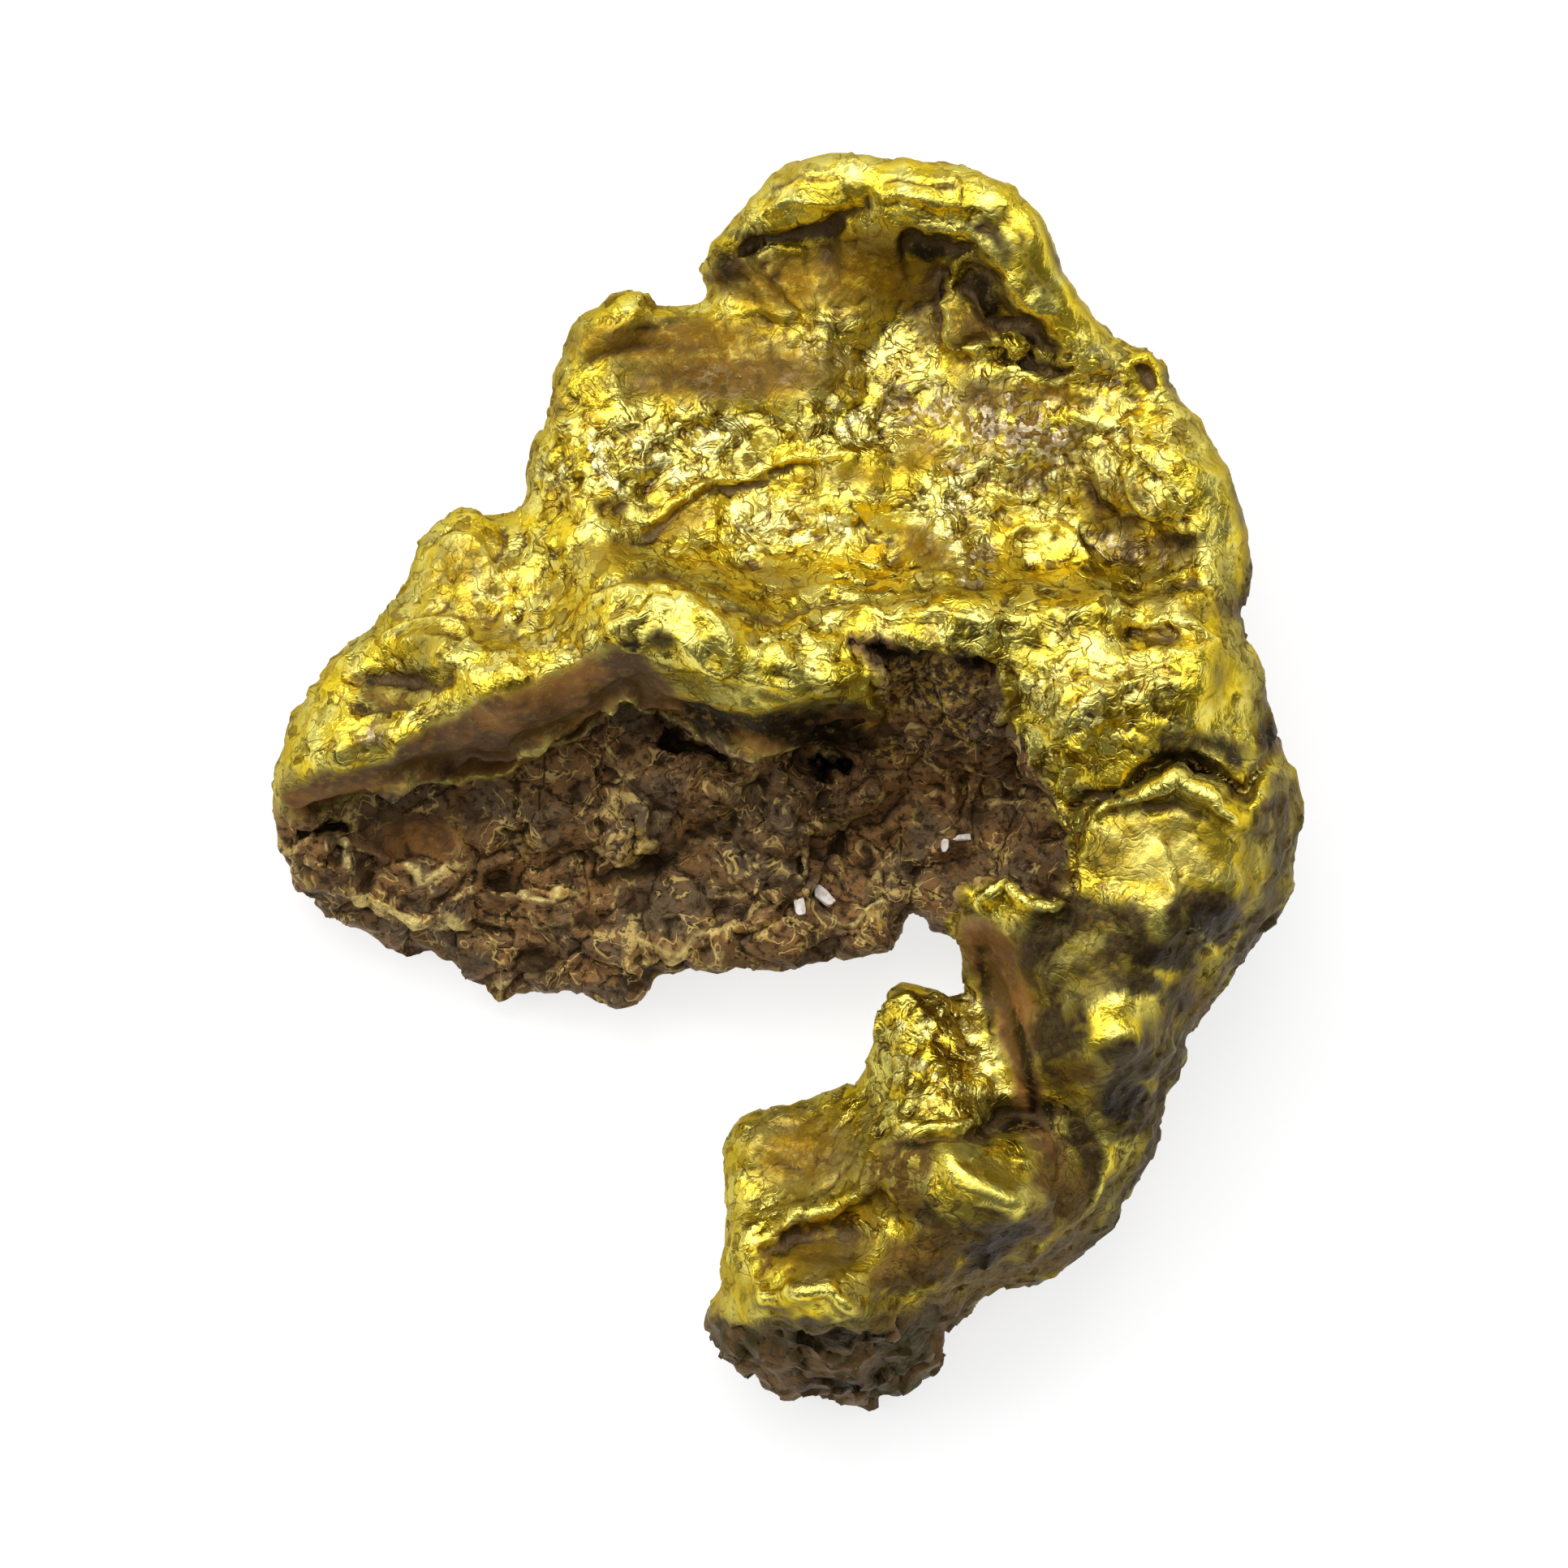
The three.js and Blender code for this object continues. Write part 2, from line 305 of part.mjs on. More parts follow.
// Height that an oval knob adds, or with a negative rise a pit takes off: a round bowl with a soft edge.
function knob({ at, radii, turn, rise }) {
  const [cx, cy] = toPart(at);
  const angle = THREE.MathUtils.degToRad(turn);
  return (x, y) => {
    const u = ((x - cx) * Math.cos(angle) + (y - cy) * Math.sin(angle)) / Math.max(radii[0], 0.6 * CELL);
    const v = ((y - cy) * Math.cos(angle) - (x - cx) * Math.sin(angle)) / Math.max(radii[1], 0.6 * CELL);
    return rise * Math.exp(-((u * u + v * v) ** 1.5));
  };
}

// Low swells through space: sine waves whose directions are spread over the sphere by the golden angle.
const WAVES = Array.from({ length: 9 }, (_, i) => {
  const height = 1 - (2 * (i + 0.5)) / 9;
  const turn = i * Math.PI * (3 - Math.sqrt(5));
  const flat = Math.sqrt(1 - height * height);
  const size = ((2 * Math.PI) / SWELL_LENGTH) * (0.7 + 0.08 * i);
  return { k: [flat * Math.cos(turn) * size, flat * Math.sin(turn) * size, height * size], phase: 2.4 * i };
});
const swell = (x, y, z) =>
  (SWELL * WAVES.reduce((sum, { k, phase }) => sum + Math.sin(k[0] * x + k[1] * y + k[2] * z + phase), 0)) / 2;

// Rounded meeting of two faces: negative where both are, with an edge of the given radius.
const rounded = (a, b, radius) =>
  Math.min(Math.max(a + radius, b + radius), 0) +
  Math.hypot(Math.max(a + radius, 0), Math.max(b + radius, 0)) -
  radius;

const silhouette = new THREE.CatmullRomCurve3(
  OUTLINE.map((p) => new THREE.Vector3(...toPart(p), 0)),
  true,
  "centripetal",
)
  .getPoints(2 * OUTLINE.length)
  .slice(1)
  .map((p) => [p.x, p.y]);

const insideOutline = insideOf(silhouette);
const insideHollow = insideOf(HOLLOW.map(toPart));
const crownSheet = bentSheet(CROWN);
const floorSheet = bentSheet(FLOOR);
const bellySheet = bentSheet(BELLY);
const reliefs = [...LEDGES.map(ledge), ...RIDGES.map(ridge), ...KNOBS.map(knob)];

// The nugget's field over one place in plan, as a function of height that is negative inside the gold. The top is the
// crown, or the floor where the hollow is open, and under the hollow's lip the hollow reaches back below the crown.
function nuggetAt(x, y) {
  const rim = insideOutline(x, y);
  const hollow = insideHollow(x, y);
  const relief = reliefs.reduce((sum, each) => sum + each(x, y), 0);
  const crown = crownSheet(x, y) + relief;
  const roof = crown - LIP_THICKNESS;
  const floor = Math.min(floorSheet(x, y) + relief, roof);
  const top = THREE.MathUtils.lerp(floor, crown, smoothstep(-hollow, 0, 1));
  const belly = Math.min(bellySheet(x, y), top - LEAST_THICKNESS);
  const radius = Math.min(RIM_SHARE * (top - belly), RIM_MOST);
  const calm = smoothstep(rim, 0, 0.6);
  return (z) => {
    const reach = OVERHANG * smoothstep(roof - z, 0, OVERHANG_RISE);
    const above = Math.max(z - crown, Math.min(hollow + reach, z - floor));
    return Math.max(rounded(-rim, above, radius), rounded(-rim, belly - z, radius)) + calm * swell(x, y, z);
  };
}

// The skin where the field is zero, by surface nets: one point in each cell that the skin passes through, at the
// mean of its crossings of the cell's edges and then moved onto the skin, and one four-sided face for each grid
// edge that the skin crosses.
function skin(fieldAt, low, [nx, ny, nz], cell) {
  const at = (i, j, k) => i + nx * (j + ny * k);
  const values = new Float64Array(nx * ny * nz);
  for (let j = 0; j < ny; j++)
    for (let i = 0; i < nx; i++) {
      const field = fieldAt(low[0] + i * cell, low[1] + j * cell);
      for (let k = 0; k < nz; k++) values[at(i, j, k)] = field(low[2] + k * cell);
    }
  const steps = [[1, 0, 0], [0, 1, 0], [0, 0, 1]];
  const corners = Array.from({ length: 8 }, (_, c) => [c & 1, (c >> 1) & 1, c >> 2]);
  const edges = corners.flatMap((a, i) => [1, 2, 4].filter((b) => !(i & b)).map((b) => [i, i | b]));
  makeOneBody(values, steps.flatMap((step) => [at(...step), -at(...step)]));
  fillPinches(values, corners.map((corner) => at(...corner)), edges);

  const points = [];
  const pointOf = new Map();
  for (let k = 0; k < nz - 1; k++)
    for (let j = 0; j < ny - 1; j++)
      for (let i = 0; i < nx - 1; i++) {
        const v = corners.map(([a, b, c]) => values[at(i + a, j + b, k + c)]);
        const crossed = edges.filter(([a, b]) => v[a] < 0 !== v[b] < 0);
        if (!crossed.length) continue;
        const mean = new THREE.Vector3();
        for (const [a, b] of crossed) {
          const t = v[a] / (v[a] - v[b]);
          mean.add(new THREE.Vector3(...corners[a]).lerp(new THREE.Vector3(...corners[b]), t));
        }
        const corner = new THREE.Vector3(i, j, k).multiplyScalar(cell).add(new THREE.Vector3(...low));
        const point = mean.multiplyScalar(cell / crossed.length).add(corner);
        moveOnto(fieldAt, point, corner, cell);
        // The table grinds off whatever would reach below it, which leaves the flats that the nugget rests on.
        point.z = Math.max(point.z, 0);
        pointOf.set(at(i, j, k), points.length / 3);
        points.push(...point);
      }

  const faces = [];
  for (let k = 1; k < nz - 1; k++)
    for (let j = 1; j < ny - 1; j++)
      for (let i = 1; i < nx - 1; i++)
        steps.forEach(([a, b, c], axis) => {
          const inside = values[at(i, j, k)] < 0;
          if (inside === values[at(i + a, j + b, k + c)] < 0) return;
          const [p, q] = [steps[(axis + 1) % 3], steps[(axis + 2) % 3]];
          const ring = [[0, 0], [1, 0], [1, 1], [0, 1]].map(([s, t]) =>
            pointOf.get(at(i - s * p[0] - t * q[0], j - s * p[1] - t * q[1], k - s * p[2] - t * q[2])),
          );
          if (!inside) ring.reverse();
          faces.push(ring[0], ring[1], ring[2], ring[0], ring[2], ring[3]);
        });
  return new THREE.BufferGeometry()
    .setAttribute("position", new THREE.Float32BufferAttribute(points, 3))
    .setIndex(faces);
}

// Moves a point down the field's slope to where the field is zero, and keeps it in its own cell.
function moveOnto(fieldAt, point, corner, cell) {
  const h = 0.1 * cell;
  const inset = 0.05 * cell;
  for (let pass = 0; pass < 3; pass++) {
    const { x, y, z } = point;
    const here = fieldAt(x, y);
    const slope = new THREE.Vector3(
      fieldAt(x + h, y)(z) - fieldAt(x - h, y)(z),
      fieldAt(x, y + h)(z) - fieldAt(x, y - h)(z),
      here(z + h) - here(z - h),
    ).divideScalar(2 * h);
    point.addScaledVector(slope, -here(z) / Math.max(slope.lengthSq(), 0.25));
    point.clamp(corner.clone().addScalar(inset), corner.clone().addScalar(cell - inset));
  }
}

// Leaves one solid body: lumps apart from the largest become empty, and closed bubbles in it become gold.
function makeOneBody(values, steps) {
  const region = new Int32Array(values.length);
  const body = { size: 0, name: 0 };
  let name = 0;
  for (let start = 0; start < values.length; start++) {
    if (region[start]) continue;
    const gold = values[start] < 0;
    const queue = [start];
    region[start] = ++name;
    for (let head = 0; head < queue.length; head++)
      for (const step of steps) {
        const next = queue[head] + step;
        if (next < 0 || next >= values.length || region[next] || values[next] < 0 !== gold) continue;
        region[next] = name;
        queue.push(next);
      }
    if (gold && queue.length > body.size) Object.assign(body, { size: queue.length, name });
  }
  const outside = region[0];
  region.forEach((here, i) => {
    if (here !== outside && here !== body.name) values[i] = -values[i];
  });
}

// Fills the pinches, where two parts of the gold or of the air would touch only along an edge or at a point of the
// skin: in a cell whose corners inside, or outside, aren't all joined by its edges, the nearest outside one is filled.
function fillPinches(values, corners, edges) {
  const joined = (kinds, kind) => {
    const group = kinds.map((_, i) => i);
    for (let pass = 0; pass < 3; pass++)
      for (const [a, b] of edges) if (kinds[a] === kinds[b]) group[a] = group[b] = Math.min(group[a], group[b]);
    return new Set(group.filter((_, i) => kinds[i] === kind)).size <= 1;
  };
  for (let filled = true; filled; ) {
    filled = false;
    for (let start = 0; start + corners[7] < values.length; start++) {
      const kinds = corners.map((corner) => values[start + corner] < 0);
      if (joined(kinds, true) && joined(kinds, false)) continue;
      const empty = corners.map((corner) => start + corner).filter((i) => values[i] >= 0);
      const nearest = empty.reduce((a, b) => (values[b] < values[a] ? b : a));
      values[nearest] = -0.05 * CELL;
      filled = true;
    }
  }
}

const MARGIN = 3 * CELL;
const [left, front] = toPart([3.3, 17.38]);
const LOW = [left - MARGIN, front - MARGIN, -MARGIN];
const REACH = [12.72, 15.45, 5.2].map((size) => size * SCALE + 2 * MARGIN);

const gold = new THREE.MeshStandardMaterial({ color: 0xc9a227, roughness: 0.35, metalness: 1 });

const nugget = new THREE.Mesh(
  mergeVertices(skin(nuggetAt, LOW, REACH.map((r) => Math.ceil(r / CELL)), CELL)),
  gold,
);
nugget.name = "nugget";
nugget.geometry.computeVertexNormals();

const part = new THREE.Group();
part.add(nugget);

export default part;
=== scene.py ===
import bpy
import numpy as np
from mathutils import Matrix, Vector


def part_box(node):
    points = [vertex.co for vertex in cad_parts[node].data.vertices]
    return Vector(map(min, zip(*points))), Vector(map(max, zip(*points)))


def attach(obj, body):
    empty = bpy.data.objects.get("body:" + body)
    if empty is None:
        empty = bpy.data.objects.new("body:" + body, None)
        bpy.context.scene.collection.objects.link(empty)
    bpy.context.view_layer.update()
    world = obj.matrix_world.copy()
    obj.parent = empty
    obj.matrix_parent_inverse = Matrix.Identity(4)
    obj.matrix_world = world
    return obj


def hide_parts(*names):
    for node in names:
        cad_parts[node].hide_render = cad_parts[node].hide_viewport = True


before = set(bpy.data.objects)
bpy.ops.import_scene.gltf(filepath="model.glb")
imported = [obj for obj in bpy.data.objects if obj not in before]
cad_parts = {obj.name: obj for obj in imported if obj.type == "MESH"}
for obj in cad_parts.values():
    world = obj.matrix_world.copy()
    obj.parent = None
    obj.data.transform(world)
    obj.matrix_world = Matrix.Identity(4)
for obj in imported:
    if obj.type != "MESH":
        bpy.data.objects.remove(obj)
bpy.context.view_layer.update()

# The nugget.
# One piece of native gold, grown in rough rock and then rolled smooth on its rims and folds by a stream.
# The hollow under its fold has kept the rock's crumpled print and a brown stain of iron. It lies on four
# worn flats.

MM = 0.001
low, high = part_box("nugget")
DRAWN_LENGTH = 15.42
SHEET_MIDDLE = np.array([9.66, 9.655])
SCALE = (high.y - low.y) / MM / DRAWN_LENGTH
CELL = 0.05
MOST_TRIANGLES = 196000
MARGIN = 3 * CELL
CUT_UNDER_FLOOR = 1.5 * CELL


def on_part(places):
    """Places on the drawing sheet, in millimetres across and down, as millimetres along +X and +Y."""
    return (np.asarray(places, float)[..., :2] - SHEET_MIDDLE) * [SCALE, -SCALE]


# The silhouette, clockwise from the tip of the left lobe.
OUTLINE = [
    (3.30, 9.90), (3.32, 9.55), (3.46, 9.18), (3.66, 8.70), (3.88, 8.36), (4.14, 8.08), (4.42, 7.83),
    (4.66, 7.64), (4.80, 7.35), (5.00, 7.10), (5.12, 6.80), (5.28, 6.50), (5.48, 6.33), (5.76, 6.25),
    (6.02, 6.33), (6.24, 6.34), (6.42, 6.18), (6.50, 5.92), (6.56, 5.58), (6.66, 5.32), (6.80, 5.00),
    (6.84, 4.70), (6.92, 4.42), (7.06, 4.18), (7.26, 3.94), (7.46, 3.76), (7.66, 3.61), (7.90, 3.58),
    (8.08, 3.72), (8.36, 3.72), (8.62, 3.67), (8.73, 3.50), (8.66, 3.30), (8.80, 3.02), (9.00, 2.75),
    (9.16, 2.53), (9.40, 2.33), (9.66, 2.12), (10.0, 1.98), (10.5, 1.93), (11.0, 1.96), (11.5, 1.98),
    (11.95, 2.12), (12.36, 2.32), (12.63, 2.51), (12.81, 2.76), (12.96, 3.06), (13.06, 3.36), (13.25, 3.66),
    (13.5, 3.96), (13.75, 4.20), (14.0, 4.27), (14.25, 4.43), (14.4, 4.66), (14.47, 4.90), (14.66, 5.16),
    (14.90, 5.48), (15.1, 5.80), (15.25, 6.20), (15.38, 6.60), (15.44, 7.00), (15.36, 7.34), (15.26, 7.55),
    (15.36, 7.85), (15.49, 8.20), (15.6, 8.60), (15.7, 9.00), (15.78, 9.28), (15.93, 9.62), (16.02, 10.0),
    (16.0, 10.5), (15.85, 11.04), (15.62, 11.36), (15.46, 11.62), (15.2, 11.96), (15.0, 12.26),
    (14.78, 12.56), (14.67, 12.72), (14.6, 13.02), (14.48, 13.3), (14.33, 13.54), (14.28, 13.86),
    (14.17, 14.3), (14.0, 14.66), (13.7, 15.1), (13.3, 15.5), (12.9, 15.8), (12.5, 15.92), (12.22, 16.02),
    (11.9, 16.22), (11.64, 16.42), (11.62, 16.66), (11.44, 16.92), (11.15, 17.12), (10.9, 17.23),
    (10.57, 17.38), (10.2, 17.26), (9.86, 17.24), (9.5, 17.1), (9.2, 16.9), (8.95, 16.7), (8.78, 16.5),
    (8.73, 16.2), (8.85, 15.95), (8.94, 15.7), (8.93, 15.4), (8.97, 15.0), (8.95, 14.5), (8.93, 14.06),
    (9.1, 13.8), (9.48, 13.7), (9.82, 13.6), (10.1, 13.5), (10.4, 13.37), (10.6, 13.33), (10.72, 13.1),
    (10.68, 12.9), (10.7, 12.7), (10.88, 12.46), (11.0, 12.22), (11.25, 12.15), (11.5, 12.18),
    (11.7, 12.25), (11.88, 12.18), (11.84, 12.0), (11.79, 11.66), (11.64, 11.44), (11.44, 11.3),
    (11.24, 11.3), (11.07, 11.42), (10.96, 11.6), (10.7, 11.72), (10.3, 11.82), (9.9, 11.9), (9.4, 11.93),
    (9.08, 11.85), (8.9, 11.9), (8.6, 11.88), (8.4, 12.0), (8.12, 12.06), (8.0, 12.25), (7.8, 12.35),
    (7.4, 12.28), (7.0, 12.25), (6.5, 12.28), (6.1, 12.22), (5.8, 12.08), (5.54, 11.9), (5.3, 11.74),
    (4.9, 11.7), (4.5, 11.52), (4.1, 11.3), (3.7, 10.95), (3.45, 10.6), (3.34, 10.2),
]

# Spot heights of the upper surface: across, down, height.
CROWN = [
    # the rolled rim of the top lobe, and the flap folded in from it
    (9.0, 3.1, 2.9), (9.4, 2.6, 3.3), (10.0, 2.35, 3.6), (10.6, 2.3, 3.7), (11.2, 2.4, 3.8),
    (11.8, 2.55, 3.9), (12.3, 2.85, 4.0), (12.7, 3.3, 4.0), (13.05, 3.85, 3.8), (13.4, 4.35, 3.5),
    (11.2, 3.0, 3.2), (11.8, 3.3, 3.1), (12.2, 3.7, 3.3), (12.0, 4.15, 3.0), (12.6, 4.2, 3.0),
    (13.0, 4.55, 3.0),
    # the dish
    (9.6, 3.2, 2.7), (10.3, 3.1, 2.8), (10.6, 3.6, 2.7), (11.1, 3.6, 2.5), (11.4, 4.1, 2.3),
    (11.4, 4.7, 2.4), (12.3, 4.75, 2.75), (12.9, 5.05, 2.8), (7.8, 3.75, 3.0), (8.5, 3.9, 2.6),
    (7.2, 4.3, 2.9), (6.95, 4.9, 2.8), (7.8, 4.3, 2.6), (8.8, 4.4, 2.6), (9.8, 4.2, 2.6), (8.2, 5.0, 2.6),
    (7.3, 5.5, 2.9), (8.5, 5.7, 2.8), (9.4, 5.2, 2.75), (10.3, 4.7, 2.75), (10.6, 5.4, 2.75),
    (6.8, 5.9, 2.9), (7.6, 6.3, 2.9), (8.6, 6.4, 2.7), (9.6, 6.1, 2.75), (10.2, 6.4, 2.85),
    (11.5, 5.5, 2.6), (11.3, 6.2, 2.75), (12.2, 5.6, 2.75), (12.8, 5.5, 2.7), (13.3, 5.6, 2.8),
    (13.2, 6.3, 2.7), (14.2, 6.8, 2.85), (13.6, 6.9, 2.9), (12.7, 6.9, 3.1), (12.0, 6.9, 3.1),
    (12.3, 6.3, 2.8), (8.0, 6.7, 3.05), (9.0, 6.9, 3.05), (10.0, 6.9, 3.1), (11.0, 6.9, 3.0),
    # the rim of the dish on the right
    (13.9, 4.7, 3.2), (13.6, 5.2, 3.1), (14.1, 5.4, 3.5), (14.5, 5.9, 3.6), (14.8, 6.5, 3.6),
    (15.05, 7.0, 3.4), (13.9, 6.2, 3.1),
    # the left shoulder
    (5.6, 6.6, 2.7), (6.4, 6.8, 2.8), (5.3, 7.1, 2.8), (6.0, 7.3, 3.0), (6.8, 7.3, 2.9), (5.2, 7.85, 3.3),
    (4.6, 7.9, 2.9), (6.0, 7.8, 3.2), (6.8, 7.8, 3.4), (4.9, 8.4, 2.85), (4.1, 8.6, 2.9), (4.6, 8.85, 2.9),
    (3.7, 9.2, 2.7), (3.6, 9.8, 2.4), (4.2, 9.3, 3.1),
    # the top of the fold, and the lip that hangs over the hollow
    (7.2, 7.1, 3.5), (8.0, 7.05, 4.0), (8.8, 7.3, 4.1), (9.5, 7.6, 4.0), (10.2, 7.35, 3.7),
    (11.0, 7.3, 3.8), (11.8, 7.25, 3.9), (12.6, 7.35, 4.0), (13.5, 7.35, 4.0), (14.4, 7.4, 3.9),
    (15.0, 7.6, 3.9), (4.9, 9.1, 3.3), (5.6, 8.65, 3.6), (6.4, 8.3, 3.9), (7.2, 8.05, 4.2),
    (7.8, 7.75, 4.5), (8.4, 7.7, 4.65), (9.1, 8.1, 4.6), (9.8, 8.45, 4.4), (10.4, 8.68, 4.1),
    (4.5, 9.65, 2.5), (5.5, 9.45, 2.6), (6.3, 9.35, 2.8), (7.0, 8.95, 3.1), (7.6, 8.6, 3.3),
    (8.3, 8.75, 3.4), (9.0, 9.1, 3.3), (9.6, 9.25, 3.2), (10.4, 8.9, 3.0), (11.0, 8.8, 3.0),
    (10.2, 7.8, 4.0), (10.4, 8.2, 4.1),
    # the pillow on the right
    (11.3, 7.75, 4.1), (12.2, 7.85, 4.2), (12.6, 8.4, 4.2), (12.6, 9.0, 3.9), (13.2, 7.9, 4.2),
    (14.0, 7.8, 4.0), (13.3, 8.6, 4.4), (14.2, 8.5, 4.4), (15.0, 8.3, 4.2), (15.4, 8.9, 3.7),
    (13.2, 9.3, 4.1), (14.0, 9.1, 4.1), (14.8, 9.1, 3.9), (13.2, 9.8, 3.5),
    # the arm
    (13.5, 10.2, 4.0), (14.4, 9.8, 4.3), (15.3, 10.1, 4.2), (15.6, 9.5, 3.9), (15.8, 10.3, 3.4),
    (14.6, 10.6, 4.25), (15.3, 10.9, 3.85), (13.9, 10.8, 4.2), (13.2, 11.0, 4.1), (12.6, 11.15, 4.0),
    (12.15, 11.2, 3.6), (14.3, 11.6, 4.15), (15.1, 11.5, 3.5), (13.4, 11.9, 4.15), (12.6, 12.0, 3.6),
    (14.0, 12.4, 4.15), (14.7, 12.2, 3.4), (13.2, 12.8, 4.0), (12.75, 13.0, 3.5), (14.0, 12.9, 4.15),
    (13.6, 13.5, 3.6), (14.2, 13.5, 3.0), (13.0, 13.6, 3.0), (12.2, 12.3, 2.6), (11.4, 12.4, 2.9),
    (11.1, 12.9, 3.0), (12.1, 12.9, 2.85), (11.4, 13.4, 3.35), (12.1, 13.3, 3.1), (12.3, 13.7, 2.9),
    (11.3, 14.0, 3.6), (11.9, 14.3, 3.85), (12.5, 14.8, 3.8), (12.9, 14.9, 3.5), (11.2, 14.6, 3.6),
    (11.9, 15.0, 3.6), (13.2, 14.2, 3.0), (13.6, 14.7, 2.7), (13.1, 15.3, 2.4), (12.4, 15.5, 2.7),
    # the arm's tip
    (9.4, 14.1, 2.3), (10.1, 14.2, 2.2), (10.5, 13.8, 2.4), (9.3, 14.8, 2.45), (10.0, 14.8, 2.65),
    (10.7, 14.5, 3.3), (10.6, 15.2, 2.9), (10.0, 15.3, 2.8), (9.3, 15.2, 3.2), (9.2, 15.9, 2.9),
    (9.8, 15.9, 3.4), (10.5, 16.0, 3.4), (11.4, 15.6, 3.3), (11.3, 16.2, 2.8), (10.3, 16.7, 2.6),
    (9.6, 16.5, 2.6), (10.9, 16.8, 2.2),
]

# The hollow under the fold: its edge in plan, running out past the silhouette on its open side, and its
# floor.
HOLLOW = [
    (2.8, 10.1), (3.55, 10.08), (4.0, 9.88), (4.5, 9.74), (5.2, 9.64), (5.8, 9.54), (6.3, 9.5), (6.6, 9.32),
    (7.0, 9.06), (7.35, 8.86), (7.6, 8.7), (7.9, 8.68), (8.2, 8.8), (8.6, 9.0), (9.0, 9.15), (9.5, 9.3),
    (9.9, 9.15), (10.4, 8.97), (10.9, 8.93), (11.05, 8.75), (10.75, 8.5), (10.5, 8.12), (10.5, 7.86),
    (10.9, 7.86), (11.4, 8.0), (12.0, 8.08), (12.35, 8.28), (12.42, 8.6), (12.3, 8.92), (12.55, 9.15),
    (12.75, 9.6), (13.0, 9.95), (13.15, 10.3), (13.12, 10.8), (13.05, 11.05), (12.6, 10.98), (12.35, 10.8),
    (12.0, 10.95), (11.88, 11.2), (11.6, 11.5), (11.5, 12.0), (8.0, 13.2), (5.5, 12.9), (3.0, 12.0),
]

FLOOR = [
    # the pocket on the left, and the jaw round it
    (4.1, 10.2, 1.5), (4.7, 10.1, 1.3), (5.2, 10.4, 1.2), (5.6, 9.9, 1.5), (4.3, 10.6, 1.7),
    (4.9, 10.9, 1.5), (5.5, 10.8, 1.5), (3.8, 10.3, 2.0), (3.9, 10.7, 2.0), (4.4, 11.0, 2.2),
    (4.9, 11.3, 2.3), (5.5, 11.35, 2.2), (5.9, 11.5, 2.0), (4.6, 11.5, 1.7), (5.3, 11.75, 1.7),
    (3.7, 10.9, 1.6),
    # the golden ramp and the rough edge below it
    (6.2, 10.3, 1.6), (6.4, 10.8, 1.8), (7.0, 10.7, 1.9), (6.2, 11.15, 1.4), (6.9, 11.2, 1.3),
    (6.5, 11.8, 1.1), (6.1, 12.1, 1.3), (7.2, 12.1, 1.5), (7.9, 12.1, 1.6), (7.0, 11.6, 1.4),
    # the boulders in the middle
    (6.6, 9.7, 1.7), (7.3, 9.3, 1.9), (7.3, 9.9, 1.8), (8.0, 9.2, 2.1), (8.0, 10.0, 2.2), (7.6, 10.8, 1.7),
    (8.4, 10.6, 2.1), (8.8, 9.7, 2.1), (8.9, 10.3, 2.2), (9.4, 9.6, 1.9), (9.5, 10.4, 2.1),
    (9.6, 10.9, 1.9), (8.5, 11.2, 1.9), (9.1, 11.4, 1.7), (8.3, 11.8, 1.7), (9.4, 11.8, 1.5),
    (10.1, 11.5, 1.7), (10.6, 11.4, 1.8),
    # the bay on the right
    (10.2, 9.7, 1.5), (10.3, 10.4, 1.2), (10.8, 10.0, 1.4), (10.9, 9.4, 1.7), (10.7, 10.9, 1.2),
    (11.2, 10.5, 1.2), (11.2, 11.1, 1.4), (11.6, 9.5, 1.9), (11.6, 10.2, 1.4), (12.3, 9.5, 1.8),
    (12.8, 10.1, 1.7), (12.2, 10.4, 1.4), (12.0, 11.0, 1.5), (12.9, 11.0, 1.8), (11.7, 11.4, 1.4),
    # the window pit
    (10.8, 8.2, 3.3), (11.4, 8.4, 3.2), (12.1, 8.5, 3.3), (11.2, 8.9, 2.7), (11.8, 8.9, 2.8),
    (12.2, 9.0, 2.8),
]

# Spot heights of the underside. Those below the table are ground flat by it, and are what the nugget rests
# on.
BELLY = [
    (4.9, 10.3, -0.25), (5.7, 10.9, -0.2), (14.3, 9.6, -0.25), (14.6, 10.7, -0.2), (11.6, 3.3, -0.25),
    (10.3, 16.2, -0.25), (10.9, 15.5, 0.1), (7.0, 5.0, 1.1), (5.6, 6.8, 0.9), (8.2, 4.2, 0.9),
    (9.5, 6.5, 0.5), (11.0, 5.5, 0.4), (8.0, 8.5, 0.4), (12.5, 6.5, 0.45), (10.5, 10.5, 0.5),
    (12.0, 9.5, 0.5), (12.5, 12.0, 0.9), (13.6, 13.0, 0.7), (12.6, 14.4, 0.5), (9.5, 14.3, 0.5),
    (11.4, 13.2, 0.8), (15.0, 7.8, 0.6), (14.6, 6.0, 0.8), (13.0, 4.6, 0.6), (9.8, 2.6, 0.9),
    (3.8, 9.6, 0.5), (7.0, 11.9, 0.3), (8.6, 11.4, 0.5), (10.0, 11.2, 0.6), (15.6, 10.3, 0.7),
]

